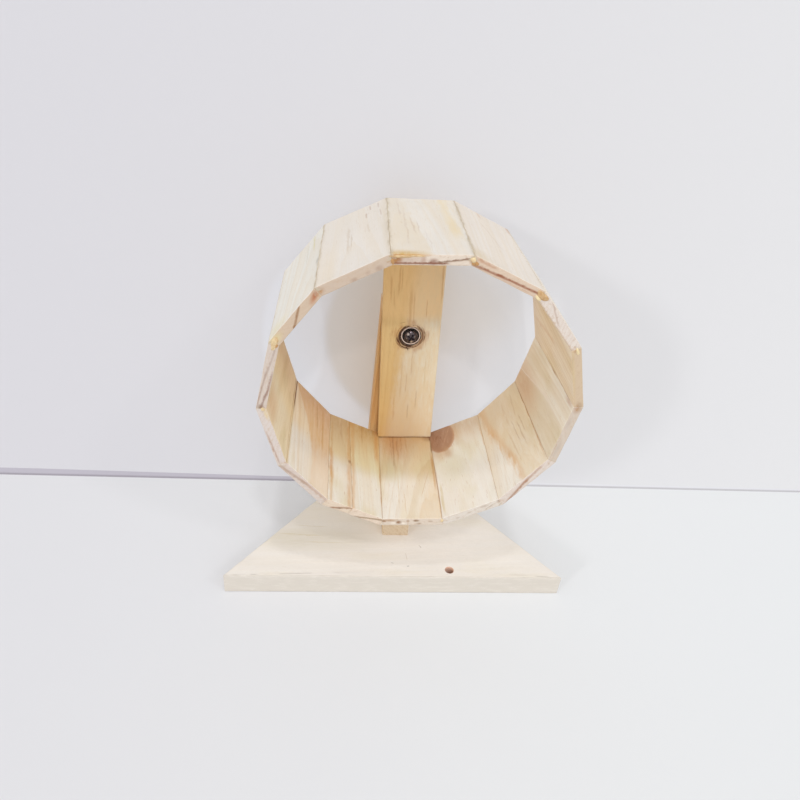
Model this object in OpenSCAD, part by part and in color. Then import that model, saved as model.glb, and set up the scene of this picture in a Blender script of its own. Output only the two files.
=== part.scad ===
// Exercise wheel for a small rodent: a slatted wooden drum on one ball bearing, on a stand.
// X is to the right, Y runs from the open front to the back, Z is up, in millimetres.
// The origin is the middle of the base board's underside.

/* [Drum] */
// Drum diameter across its outer corners
drum_d = 200; // [170:1:240]
// Length of each slat, front to back
slat_len = 99; // [70:1:130]
// Thickness of each slat
slat_t = 6.2; // [4:0.1:8]
// Width of the glue line between neighbouring slats
glue_gap = 0.3; // [0.2:0.05:0.6]
// Width of the wider one of the two narrow slats that share one side
split_slat_w = 25.5; // [16:0.5:30]
// How far the drum has turned from having a slat square at the top
drum_turn = 2; // [-12:0.5:12]
// How far the glue line lies below the inner faces
seam_recess = 0.8; // [0.4:0.1:1.5]
// Height of the glue beads on the front ends of the slats
bead_h = 1.2; // [0.6:0.1:2]
// Radius of the largest glue bead
bead_r = 3.4; // [2:0.1:4]

/* [Crossbar] */
// Width of the crossbar
crossbar_w = 42.5; // [30:0.5:60]
// Thickness of the crossbar
crossbar_t = 6.2; // [5.8:0.1:9]
// Width of the worn rim round the bearing hole
hole_wear_w = 1.6; // [0.5:0.1:3]
// Depth of the worn rim round the bearing hole
hole_wear_h = 0.5; // [0.2:0.05:0.6]

/* [Ball bearing] */
// Outer diameter of the bearing
bearing_d = 14; // [13:0.5:16]
// Bore of the bearing
bearing_bore = 5; // [4:0.5:5.5]
// Width of the bearing
bearing_w = 5; // [4.6:0.1:5.6]
// Diameter of each ball
ball_d = 2; // [1.6:0.1:2.2]
// Number of balls
ball_count = 8; // [6:1:9]
// Radial play between a ball and its grooves
ball_play = 0.04; // [0.02:0.01:0.08]
// Thickness of each race at its shoulder
race_wall = 1.5; // [1.3:0.05:1.6]
// Thickness of each seal
seal_t = 0.4; // [0.3:0.05:0.6]

/* [Axle] */
// Radial clearance of the bolt in what it passes through
bolt_clear = 0.04; // [0.02:0.01:0.1]
// Radial clearance of the bolt in the post and the washers
loose_clear = 0.15; // [0.05:0.01:0.3]
// Diameter of the bolt head
bolt_head_d = 9.8; // [9:0.1:11]
// Height of the bolt head
bolt_head_h = 3.2; // [2.4:0.1:4]
// Height of the straight side of the bolt head
bolt_head_edge = 1.3; // [0.8:0.1:2]
// Length of each arm of the cross recess
recess_l = 5.6; // [4:0.1:6]
// Width of each arm of the cross recess
recess_w = 1.1; // [0.8:0.05:1.4]
// Depth of the cross recess
recess_h = 1.9; // [1:0.1:2]
// Thickness of each shim beside the bearing
shim_t = 0.5; // [0.3:0.05:1]
// Width across the flats of both nuts
nut_af = 8; // [7.6:0.1:9]
// Height of the spacer nut
spacer_nut_h = 4; // [3:0.1:8]
// Thickness of each washer
washer_t = 1; // [0.8:0.1:1.5]
// Diameter of each washer
washer_d = 10; // [9.6:0.1:13]
// Height of the lock nut's hexagon
lock_nut_h = 3.6; // [3:0.1:5]
// Height of the lock nut's collar
lock_collar_h = 1.4; // [1.2:0.1:2]
// How far the bolt stands out behind the lock nut
bolt_end = 1; // [0.5:0.5:6]

/* [Stand] */
// Width of the base board at the front
base_w = 250; // [220:1:300]
// Width of the base board at the back
base_back_w = 63; // [50:1:120]
// Depth of the base board
base_d = 120; // [100:1:160]
// Thickness of the base board
base_t = 17; // [12:0.5:25]
// Gap between the drum and the base board
drum_gap = 50.5; // [30:0.5:80]
// Width of the post
post_w = 44; // [30:0.5:60]
// Thickness of the post
post_t = 17; // [12:0.5:25]
// How far the post reaches above the axle
post_above = 20; // [12:0.5:40]
// How far the post leans to the right
post_lean = 1.3; // [0:0.1:3]
// Width of the foot brace
brace_w = 20; // [14:0.5:30]
// Height of the foot brace
brace_h = 20; // [18:0.5:26]
// Length of the foot brace
brace_l = 61; // [45:0.5:75]
// How far the foot brace lies to the right of the middle
brace_x = 1; // [-4:0.5:4]

/* [Fixings] */
// Diameter of the fixing hole in the base board
fixing_d = 6; // [4:0.5:8]
// Fixing hole's distance to the right of the middle
fixing_x = 40; // [25:0.5:80]
// Fixing hole's distance from the front edge
fixing_y = 7; // [6:0.5:14]
// Diameter of the wood screws
screw_d = 4; // [3.5:0.1:5]
// Diameter of the wood screws' heads
screw_head_d = 8; // [7.4:0.1:9]
// Radial clearance of a wood screw in its holes
screw_clear = 0.05; // [0.02:0.01:0.2]
// Length of the wood screws' points
screw_point = 4; // [2:0.5:6]
// Length of each arm of the cross recess in a wood screw
screw_recess_l = 4.4; // [3:0.1:5]
// Width of each arm of the cross recess in a wood screw
screw_recess_w = 0.9; // [0.6:0.05:1.2]
// Depth of the cross recess in a wood screw
screw_recess_h = 1.6; // [0.8:0.1:1.9]
// How far the screw heads lie below the underside of the base board
screw_sink = 0.6; // [0.2:0.1:1.5]
// How far the post screws reach into the post
post_screw_grip = 26; // [16:0.5:40]
// Distance between the two post screws
post_screw_pitch = 24; // [16:0.5:28]
// How far the brace screws reach into the brace
brace_screw_grip = 14; // [8:0.5:15]
// Distance between the two brace screws
brace_screw_pitch = 34; // [20:0.5:36]

/* [Hidden] */
$fn = 96;

pale_pine = "#ead9be";
warm_pine = "#dfc196";
base_pine = "#eee3d2";
brace_pine = "#d1b89a";
glue_amber = "#d9b36a";
bright_steel = "#c9ccd0";
black_steel = "#2b2626";
zinc_steel = "#b9bcc0";
seal_black = "#1e1c1c";
nylon_white = "#e8e8e4";

// A little more than the depth of any cut, so that it passes the face cleanly
cut_over = 1;

// The drum is a regular polygon. One side is split into two slats.
drum_sides = 14;
split_side = 9;
crossbar_side = 1;
side_angle = 360 / drum_sides;
outer_flat = drum_d / 2 * cos(side_angle / 2);
inner_flat = outer_flat - slat_t;
inner_corner = inner_flat / cos(side_angle / 2);
outer_half_w = outer_flat * tan(side_angle / 2);
split_x = split_slat_w + glue_gap - outer_half_w;

// The stand carries the axle behind the drum
base_top = base_t;
base_front = -base_d / 2;
post_front = base_d / 2 - post_t;
axle_z = base_top + drum_gap + drum_d / 2;
axle_x = (axle_z - base_top) * tan(post_lean);
post_len = (axle_z - base_top) / cos(post_lean) + post_above;

// Along the axle, from the post forwards
bearing_back = post_front - washer_t - spacer_nut_h - shim_t;
bearing_front = bearing_back - bearing_w;
bearing_mid = bearing_back - bearing_w / 2;
crossbar_back = bearing_mid + crossbar_t / 2;
crossbar_front = crossbar_back - crossbar_t;
drum_back = crossbar_back;
drum_front = drum_back - slat_len;

// Inside the bearing
ball_pitch_r = (bearing_d + bearing_bore) / 4;
groove_r = ball_d / 2 + ball_play;
inner_shoulder = bearing_bore / 2 + race_wall;
outer_shoulder = bearing_d / 2 - race_wall;
seal_gap = 0.15;
seal_sink = 0.15;
seat_gap = 0.02;
cage_gap = 0.25;
cage_half_w = ball_d / 2 + 0.3;
pocket_play = 0.05;

// Along the axle bolt
bolt_d = bearing_bore - 2 * bolt_clear;
shim_d = 2 * inner_shoulder - 0.4;
bolt_seat = bearing_front - shim_t;
lock_nut_seat = post_front + post_t + washer_t;
bolt_tip = lock_nut_seat + lock_nut_h + lock_collar_h + bolt_end;
bolt_dome_rise = bolt_head_h - bolt_head_edge;
bolt_dome_r = (pow(bolt_head_d / 2, 2) + pow(bolt_dome_rise, 2)) / (2 * bolt_dome_rise);
bolt_point = 0.8;
washer_bore = bolt_d + 2 * loose_clear;
nut_bevel = 0.5;
collar_d = nut_af - 0.6;
ring_d = bolt_d + 1.5;
ring_sink = 0.2;
post_hole_d = bolt_d + 2 * loose_clear;

// Screws
screw_head_h = (screw_head_d - screw_d) / 2;
sink_play = 0.3;
post_screw_y = post_front + post_t / 2;
brace_front = post_front - brace_l;
brace_screw_y = brace_front + brace_l / 2;

// Joint number of each glue bead on the drum's front, and its radius as a share of the largest
beads = [[1, 0.76], [2, 0.65], [3, 0.82], [4, 0.7], [8, 0.53], [12, 0.65], [13, 1]];

// Half the width of a mitred slat, at a distance from the axle
function slat_half(flat) = flat * tan(side_angle / 2) - glue_gap / 2 / cos(side_angle / 2);

// Extrudes a profile drawn in X and Z, from front_y backwards
module board(front_y, depth) {
  translate([0, front_y + depth, 0]) rotate([90, 0, 0]) linear_extrude(depth) children();
}

// Puts its children in the drum's frame: the axle is the Y axis and the side is at the top
module on_side(side) {
  translate([axle_x, 0, axle_z]) rotate([0, (side - 1) * side_angle - drum_turn, 0]) children();
}

// Puts its children on the axle at y, with their Z along it towards the back
module on_axle(y) {
  translate([axle_x, y, axle_z]) rotate([-90, 0, 0]) children();
}

// One slat. cut_left and cut_right are square cuts where the side is split.
module slat(side, cut_left = false, cut_right = false) {
  outer = slat_half(outer_flat);
  inner = slat_half(inner_flat);
  left_outer = cut_left ? split_x + glue_gap / 2 : -outer;
  left_inner = cut_left ? split_x + glue_gap / 2 : -inner;
  right_outer = cut_right ? split_x - glue_gap / 2 : outer;
  right_inner = cut_right ? split_x - glue_gap / 2 : inner;
  color(pale_pine) on_side(side) board(drum_front, slat_len)
    polygon([
      [left_outer, outer_flat], [right_outer, outer_flat],
      [right_inner, inner_flat], [left_inner, inner_flat]
    ]);
}

module slat_01() { slat(1); }
module slat_02() { slat(2); }
module slat_03() { slat(3); }
module slat_04() { slat(4); }
module slat_05() { slat(5); }
module slat_06() { slat(6); }
module slat_07() { slat(7); }
module slat_08() { slat(8); }
module slat_09() { slat(split_side, cut_right = true); }
module slat_10() { slat(split_side, cut_left = true); }
module slat_11() { slat(10); }
module slat_12() { slat(11); }
module slat_13() { slat(12); }
module slat_14() { slat(13); }
module slat_15() { slat(14); }

// A thin strip of glue at x, from one distance from the axle to another
module seam(x, low, high) {
  thick = glue_gap - 2 * seat_gap;
  board(drum_front + seam_recess, slat_len - 2 * seam_recess)
    translate([x - thick / 2, low + seam_recess]) square([thick, high - low - 2 * seam_recess]);
}

module glue_seams() {
  color(glue_amber) {
    for (joint = [1:drum_sides]) on_side(joint - 1 / 2) seam(0, inner_corner, drum_d / 2);
    on_side(split_side) seam(split_x, inner_flat, outer_flat);
  }
}

// A round cap of glue on the slats' front ends, at an outer corner of the drum
module bead(joint, r) {
  cap_r = (r * r + bead_h * bead_h) / (2 * bead_h);
  on_side(joint - 1 / 2) translate([0, drum_front - seat_gap, drum_d / 2 - r])
    rotate([90, 0, 0]) intersection() {
      translate([0, 0, bead_h - cap_r]) sphere(r = cap_r);
      cylinder(r = r + cut_over, h = bead_h + cut_over);
    }
}

module glue_beads() {
  color(glue_amber) for (b = beads) bead(b[0], b[1] * bead_r);
}

module crossbar() {
  half_h = inner_flat - glue_gap;
  color(warm_pine) difference() {
    on_side(crossbar_side) board(crossbar_front, crossbar_t)
      translate([-crossbar_w / 2, -half_h]) square([crossbar_w, 2 * half_h]);
    on_axle(crossbar_front - cut_over) cylinder(d = bearing_d + 2 * seat_gap, h = crossbar_t + 2 * cut_over);
    on_axle(crossbar_front - cut_over) cylinder(
      r1 = bearing_d / 2 + hole_wear_w * (1 + cut_over / hole_wear_h),
      r2 = bearing_d / 2 + seat_gap, h = cut_over + hole_wear_h
    );
  }
}

// A ring along Z from 0 to h
module ring(r_in, r_out, h) {
  difference() {
    cylinder(r = r_out, h = h);
    translate([0, 0, -cut_over]) cylinder(r = r_in, h = h + 2 * cut_over);
  }
}

// The round groove that the balls run in
module ball_groove() {
  translate([0, 0, bearing_w / 2]) rotate_extrude() translate([ball_pitch_r, 0]) circle(r = groove_r, $fn = 48);
}

module bearing_outer_race() {
  color(bright_steel) on_axle(bearing_front) difference() {
    ring(outer_shoulder, bearing_d / 2, bearing_w);
    ball_groove();
  }
}

module bearing_inner_race() {
  color(bright_steel) on_axle(bearing_front) difference() {
    ring(bearing_bore / 2, inner_shoulder, bearing_w);
    ball_groove();
  }
}

// Places one child at each ball
module at_balls() {
  for (i = [0:ball_count - 1])
    rotate([0, 0, i * 360 / ball_count]) translate([ball_pitch_r, 0, bearing_w / 2]) children();
}

module bearing_balls() {
  color(bright_steel) on_axle(bearing_front) at_balls() sphere(d = ball_d, $fn = 48);
}

module bearing_cage() {
  color(zinc_steel) on_axle(bearing_front) difference() {
    translate([0, 0, bearing_w / 2 - cage_half_w])
      ring(inner_shoulder + cage_gap, outer_shoulder - cage_gap, 2 * cage_half_w);
    at_balls() rotate([0, 90, 0]) cylinder(r = ball_d / 2 + pocket_play, h = 2 * ball_d, center = true);
  }
}

module bearing_seals() {
  color(seal_black) on_axle(bearing_front)
    for (z = [seal_sink, bearing_w - seal_sink - seal_t]) translate([0, 0, z])
      ring(inner_shoulder + seal_gap, outer_shoulder - seat_gap, seal_t);
}

// Two crossing slots, cut downwards from z = 0
module cross_recess(l, w, h) {
  for (turn = [0, 90]) rotate([0, 0, turn])
    translate([-l / 2, -w / 2, -h]) cube([l, w, h + cut_over]);
}

module axle_bolt() {
  color(black_steel) on_axle(bolt_seat) {
    cylinder(d = bolt_d, h = bolt_tip - bolt_seat - bolt_point);
    translate([0, 0, bolt_tip - bolt_seat - bolt_point])
      cylinder(d1 = bolt_d, d2 = bolt_d - 2 * bolt_point, h = bolt_point);
    difference() {
      intersection() {
        translate([0, 0, -bolt_head_h]) cylinder(d = bolt_head_d, h = bolt_head_h);
        translate([0, 0, bolt_dome_r - bolt_head_h]) sphere(r = bolt_dome_r);
      }
      translate([0, 0, -bolt_head_h]) mirror([0, 0, 1]) rotate([0, 0, 28])
        cross_recess(recess_l, recess_w, recess_h);
    }
  }
}

module bearing_shims() {
  color(zinc_steel) for (y = [bolt_seat, bearing_back])
    on_axle(y) ring(bolt_d / 2 + bolt_clear, shim_d / 2, shim_t);
}

// A hexagon with its corners turned off at both ends
module hex_nut(h) {
  corner_r = nut_af / 2 / cos(30);
  difference() {
    intersection() {
      cylinder(r = corner_r, h = h, $fn = 6);
      cylinder(r1 = nut_af / 2 + nut_bevel / 2, r2 = nut_af / 2 + nut_bevel / 2 + 2 * h, h = h);
      cylinder(r1 = nut_af / 2 + nut_bevel / 2 + 2 * h, r2 = nut_af / 2 + nut_bevel / 2, h = h);
    }
    translate([0, 0, -cut_over]) cylinder(r = bolt_d / 2 + bolt_clear, h = h + 2 * cut_over);
  }
}

module spacer_nut() {
  color(zinc_steel) on_axle(bearing_back + shim_t) hex_nut(spacer_nut_h);
}

module spacer_washer() {
  color(zinc_steel) on_axle(post_front - washer_t) ring(washer_bore / 2, washer_d / 2, washer_t);
}

module post_washer() {
  color(zinc_steel) on_axle(post_front + post_t) ring(washer_bore / 2, washer_d / 2, washer_t);
}

module lock_nut() {
  color(zinc_steel) on_axle(lock_nut_seat) {
    hex_nut(lock_nut_h);
    translate([0, 0, lock_nut_h]) ring(ring_d / 2 + seat_gap, collar_d / 2, lock_collar_h);
  }
}

module lock_nut_ring() {
  color(nylon_white) on_axle(lock_nut_seat + lock_nut_h)
    ring(bolt_d / 2 + bolt_clear, ring_d / 2, lock_collar_h - ring_sink);
}

// A countersunk wood screw, head down, with its head at z = screw_sink
module wood_screw(grip) {
  shank = base_top - screw_sink + grip;
  translate([0, 0, screw_sink]) difference() {
    union() {
      cylinder(d1 = screw_head_d, d2 = screw_d, h = screw_head_h);
      cylinder(d = screw_d, h = shank - screw_point);
      translate([0, 0, shank - screw_point]) cylinder(d1 = screw_d, d2 = screw_d / 4, h = screw_point);
    }
    mirror([0, 0, 1]) cross_recess(screw_recess_l, screw_recess_w, screw_recess_h);
  }
}

// The hole for one wood screw, with its countersink in the base board
module screw_hole(grip) {
  translate([0, 0, -cut_over]) cylinder(d = screw_d + 2 * screw_clear, h = base_top + grip + 2 * cut_over);
  translate([0, 0, -cut_over]) cylinder(r = screw_head_d / 2 + sink_play, h = screw_sink + cut_over);
  translate([0, 0, screw_sink]) cylinder(
    r1 = screw_head_d / 2 + sink_play, r2 = screw_d / 2 + screw_clear,
    h = screw_head_h + sink_play - screw_clear
  );
}

module at_post_screws() {
  for (side = [-1, 1]) translate([side * post_screw_pitch / 2, post_screw_y, 0]) children();
}

module at_brace_screws() {
  for (side = [-1, 1]) translate([brace_x, brace_screw_y + side * brace_screw_pitch / 2, 0]) children();
}

module post_screws() {
  color(zinc_steel) at_post_screws() wood_screw(post_screw_grip);
}

module brace_screws() {
  color(zinc_steel) at_brace_screws() wood_screw(brace_screw_grip);
}

module base_board() {
  color(base_pine) difference() {
    linear_extrude(base_t) polygon([
      [-base_w / 2, -base_d / 2], [base_w / 2, -base_d / 2],
      [base_back_w / 2, base_d / 2], [-base_back_w / 2, base_d / 2]
    ]);
    translate([fixing_x, base_front + fixing_y, -cut_over]) cylinder(d = fixing_d, h = base_t + 2 * cut_over);
    at_post_screws() screw_hole(post_screw_grip);
    at_brace_screws() screw_hole(brace_screw_grip);
  }
}

module foot_brace() {
  color(brace_pine) difference() {
    translate([brace_x - brace_w / 2, brace_front, base_top]) cube([brace_w, brace_l, brace_h]);
    at_brace_screws() screw_hole(brace_screw_grip);
  }
}

module post() {
  below = post_w * tan(post_lean) + cut_over;
  color(warm_pine) difference() {
    translate([0, 0, base_top]) rotate([0, post_lean, 0])
      translate([-post_w / 2, post_front, -below]) cube([post_w, post_t, post_len + below]);
    translate([-post_w, post_front - cut_over, base_top - 2 * below])
      cube([2 * post_w, post_t + 2 * cut_over, 2 * below]);
    on_axle(post_front - cut_over) cylinder(d = post_hole_d, h = post_t + 2 * cut_over);
    at_post_screws() screw_hole(post_screw_grip);
  }
}

base_board();
foot_brace();
post();
post_screws();
brace_screws();
slat_01();
slat_02();
slat_03();
slat_04();
slat_05();
slat_06();
slat_07();
slat_08();
slat_09();
slat_10();
slat_11();
slat_12();
slat_13();
slat_14();
slat_15();
glue_seams();
glue_beads();
crossbar();
bearing_outer_race();
bearing_inner_race();
bearing_balls();
bearing_cage();
bearing_seals();
axle_bolt();
bearing_shims();
spacer_nut();
spacer_washer();
post_washer();
lock_nut();
lock_nut_ring();
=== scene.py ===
import math
import bmesh
import bpy
import numpy as np
from mathutils import Matrix, Vector


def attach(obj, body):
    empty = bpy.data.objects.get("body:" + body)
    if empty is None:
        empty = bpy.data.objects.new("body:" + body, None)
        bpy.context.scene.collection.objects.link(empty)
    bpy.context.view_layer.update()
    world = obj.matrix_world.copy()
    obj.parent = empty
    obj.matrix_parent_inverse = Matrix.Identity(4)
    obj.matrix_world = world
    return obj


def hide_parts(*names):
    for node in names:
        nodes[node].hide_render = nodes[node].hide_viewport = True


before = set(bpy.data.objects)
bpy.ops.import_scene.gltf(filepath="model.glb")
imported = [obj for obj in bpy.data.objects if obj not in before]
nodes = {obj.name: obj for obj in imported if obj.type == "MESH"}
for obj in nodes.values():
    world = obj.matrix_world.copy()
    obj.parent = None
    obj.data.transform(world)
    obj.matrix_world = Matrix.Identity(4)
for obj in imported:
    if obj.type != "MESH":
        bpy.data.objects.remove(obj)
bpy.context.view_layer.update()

mm = 0.001
print("wheel: frame loaded,", len(nodes), "solids")


def addObject(name, data):
    made = bpy.data.objects.new(name, data)
    bpy.context.scene.collection.objects.link(made)
    return made


# Camera. Place in millimetres, angles in degrees.
camera = {"place": (-49.365, -383.38, 385.77), "yaw": 6.812, "pitch": 33.222, "roll": -5.774, "lens": 29.172}


# looks forward and down, then turns about its own line of sight
def placeCamera(c):
    yaw, pitch, roll = (math.radians(c[k]) for k in ("yaw", "pitch", "roll"))
    ahead = Vector((math.sin(yaw) * math.cos(pitch), math.cos(yaw) * math.cos(pitch), -math.sin(pitch)))
    right = Vector((math.cos(yaw), -math.sin(yaw), 0))
    down = ahead.cross(right)
    side = right * math.cos(roll) + down * math.sin(roll)
    up = right * math.sin(roll) - down * math.cos(roll)
    lens = bpy.data.cameras.new("camera")
    lens.lens, lens.sensor_width = c["lens"], 36
    lens.clip_start, lens.clip_end = 0.01, 30
    holder = addObject("camera", lens)
    turn = Matrix((side, up, -ahead)).transposed().to_4x4()
    holder.matrix_world = Matrix.Translation(Vector(c["place"]) * mm) @ turn
    bpy.context.scene.camera = holder


placeCamera(camera)
bpy.context.scene.view_settings.view_transform = "Standard"
print("wheel: camera placed")


# A display colour, 0 to 255, as the linear value that the shaders take
def tone(red, green, blue):
    c = np.array([red, green, blue]) / 255
    low, high = c / 12.92, ((c + 0.055) / 1.055) ** 2.4
    return (*(float(v) for v in np.where(c <= 0.04045, low, high)), 1.0)


# Wraps one socket. Sums on wires add Math nodes.
class Wire:
    def __init__(self, tree, socket=None):
        self.tree, self.socket = tree, socket

    # any node: its settings first, then the values or links of its sockets
    def node(self, kind, settings=None, values=None, out=0):
        made = self.tree.nodes.new(kind)
        for name, value in (settings or {}).items():
            setattr(made, name, value)
        for key, value in (values or {}).items():
            if isinstance(value, Wire):
                self.tree.links.new(value.socket, made.inputs[key])
            else:
                made.inputs[key].default_value = value
        return Wire(self.tree, made.outputs[out] if len(made.outputs) else None)

    def math(self, operation, first, second=0.0):
        return self.node("ShaderNodeMath", {"operation": operation}, {0: first, 1: second})

    def __add__(self, other):
        return self.math("ADD", self, other)

    def __radd__(self, other):
        return self.math("ADD", other, self)

    def __sub__(self, other):
        return self.math("SUBTRACT", self, other)

    def __rsub__(self, other):
        return self.math("SUBTRACT", other, self)

    def __mul__(self, other):
        return self.math("MULTIPLY", self, other)

    def __rmul__(self, other):
        return self.math("MULTIPLY", other, self)

    def __truediv__(self, other):
        return self.math("DIVIDE", self, other)

    def __abs__(self):
        return self.math("ABSOLUTE", self)

    def root(self):
        return self.math("SQRT", self)

    # 0 below low and 1 above high with a soft step between, or the other way round where low is the larger
    def step(self, low, high):
        return self.node("ShaderNodeMapRange", {"interpolation_type": "SMOOTHSTEP"}, {0: self, 1: low, 2: high})

    # the colour at some share of the way from first to second, where three numbers are a display colour
    def blend(self, share, first, second, how="MIX"):
        first, second = (tone(*c) if isinstance(c, tuple) and len(c) == 3 else c for c in (first, second))
        settings = {"data_type": "RGBA", "blend_type": how}
        return self.node("ShaderNodeMix", settings, {0: share, 6: first, 7: second}, 2)

    def mix(self, first, second, how="MIX"):
        return self.blend(self, first, second, how)

    # noise on a vector that is first stretched, centred on 0
    def noise(self, stretch, detail=2.0, rough=0.5):
        scaled = self.node("ShaderNodeVectorMath", {"operation": "MULTIPLY"}, {0: self, 1: stretch})
        values = {"Vector": scaled, "Scale": 1.0, "Detail": detail, "Roughness": rough}
        return self.node("ShaderNodeTexNoise", {"noise_dimensions": "3D"}, values) - 0.5

    # noise along one number, centred on 0
    def noiseAlong(self, scale, detail=1.0):
        values = {"W": self, "Scale": scale, "Detail": detail}
        return self.node("ShaderNodeTexNoise", {"noise_dimensions": "1D"}, values) - 0.5

    def split(self):
        return [self.node("ShaderNodeSeparateXYZ", {}, {0: self}, k) for k in range(3)]


def newMaterial(name):
    made = bpy.data.materials.new(name)
    made.use_nodes = True
    made.node_tree.nodes.clear()
    return made, Wire(made.node_tree)


def closeMaterial(wire, surface):
    wire.node("ShaderNodeOutputMaterial", {}, {"Surface": surface})


# closes a material with the shader's values and a bump: its height, strength and depth in metres
def closeSkin(wire, values, height, strength, depth):
    bump = wire.node("ShaderNodeBump", {}, {"Height": height, "Strength": strength, "Distance": depth})
    closeMaterial(wire, wire.node("ShaderNodeBsdfPrincipled", {}, {**values, "Normal": bump}))


# Millimetres from the point place, and the way the surface faces, in a frame turned by turn degrees about Y
def boardFrame(wire, place, turn):
    spot, facing = (wire.node("ShaderNodeTexCoord", {}, {}, out) for out in ("Object", "Normal"))
    settings, turned = {"vector_type": "TEXTURE"}, (0, math.radians(turn), 0)
    values = {"Location": tuple(v * mm for v in place), "Rotation": turned, "Scale": (mm, mm, mm)}
    return (wire.node("ShaderNodeMapping", settings, {"Vector": spot, **values}),
            wire.node("ShaderNodeMapping", settings, {"Vector": facing, "Rotation": turned}))


# Marks. Each gives its shape, a function of two places in millimetres and of a wandering noise, then its
# colour, its strength and how broken its line is. rag is how far the noise moves its border, soft how soft
# that is.

# an oval: distance from its middle in shares of its two radii, 1 inside and 0 outside
def oval(a0, b0, wide, long, colour, strength, soft=0.9, rag=0.6, tilt=0):
    c, s = math.cos(math.radians(tilt)), math.sin(math.radians(tilt))

    def shape(a, b, wander):
        da, db = a - a0, b - b0
        one, two = (da * c + db * s) * (1 / wide), (db * c - da * s) * (1 / long)
        return ((one * one + two * two).root() + wander * rag).step(1 + soft, 1 - soft)
    return shape, colour, strength, None


# a stroke: distance from the line between two points, fading at its sides and ends
def stroke(a0, b0, a1, b1, width, colour, strength, rag=1.0, soft=0.9, fade=0.25, broken=None):
    length = math.hypot(a1 - a0, b1 - b0)
    ea, eb = (a1 - a0) / length, (b1 - b0) / length
    past = 0.04  # how far it runs on past its ends

    def shape(a, b, wander):
        da, db = a - a0, b - b0
        along = (da * ea + db * eb) * (1 / length)
        off = abs(da * eb - db * ea + wander * rag)
        return off.step(width, width * (1 - soft)) * along.step(-past, fade) * along.step(1 + past, 1 - fade)
    return shape, colour, strength, broken


# a zone: all that lies on one side of the curve a = c0 + c1 b + c2 b b
def zone(c0, c1, c2, side, colour, strength, soft=1.0, rag=1.5):
    def shape(a, b, wander):
        return ((a - (b * (b * c2 + c1) + c0)) * side + wander * rag).step(-soft, soft)
    return shape, colour, strength, None


# an arc: a ring of some radius and half width, shown round the angle aim as far as half to both sides
def arc(radius, width, aim, half, rag, colour, strength):
    aim, edge, blur = math.radians(aim), math.cos(math.radians(half)), 0.15
    ca, sa = math.cos(aim), math.sin(aim)

    def shape(a, b, wander):
        far = (a * a + b * b).root()
        facing = (a * ca + b * sa) / far + wander * 0.5
        ring = abs(far - radius + wander * rag)
        return ring.step(width, width * 0.2) * facing.step(edge - blur, edge + blur)
    return shape, colour, strength, None


# Pine. Lengths are millimetres. pith is where the rings' middle lies across and in depth, split the depth where
# the outside begins, paintedLitTo the two places along the board between which the inside grows paler to the
# front, a painted light for the lit front of the drum's inside.
pineDefaults = {
    "place": (0, 0, 0), "turn": 0, "axes": (0, 1, 2), "split": 200,
    "pith": (0, 40), "rings": 2.6, "taper": 0.04, "wander": 5.0, "seed": 0.0, "knot": None,
    # the outer tones are paler and the inner ones warmer: partly the wood, partly painted light on the outside
    # and painted shade on the inside
    "inner": (232, 214, 182), "outer": (233, 227, 218), "ends": (226, 212, 194), "endLate": (190, 164, 138),
    "innerLate": (198, 160, 106), "outerLate": (220, 205, 182), "innerCanal": (176, 122, 74),
    "outerCanal": (196, 168, 138), "paintedLitTone": (234, 231, 226), "paintedLitTo": (-26, -6), "paintedLitShare": 0.0,
    "band": (224, 196, 148), "bandShare": 0.4, "olive": (206, 192, 142), "oliveShare": 0.3,
    "late": 0.26, "fibre": 0.36, "canals": 0.5, "endLines": 0.16,
    "seam": 0.0, "seamColour": (172, 124, 74), "seamOutside": (190, 177, 156),
    "rough": 0.66, "gloss": 0.28, "bump": 0.35, "bumpDepth": 0.00012,
}

# The wood's noises: stretch across, along and in depth, then detail and roughness
woodNoises = {
    "slow": ((0.02, 0.006, 0.02), 1.0), "small": ((0.16, 0.016, 0.16), 2.0),
    "wander": ((0.42, 0.10, 0.42), 3.0, 0.6), "fibre": ((1.7, 0.035, 1.7), 4.0, 0.6),
    "fine": ((5.0, 0.30, 5.0), 2.0, 0.6), "canal": ((2.6, 0.13, 2.6), 1.0), "patch": ((0.07, 0.018, 0.07), 2.0),
}


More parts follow.
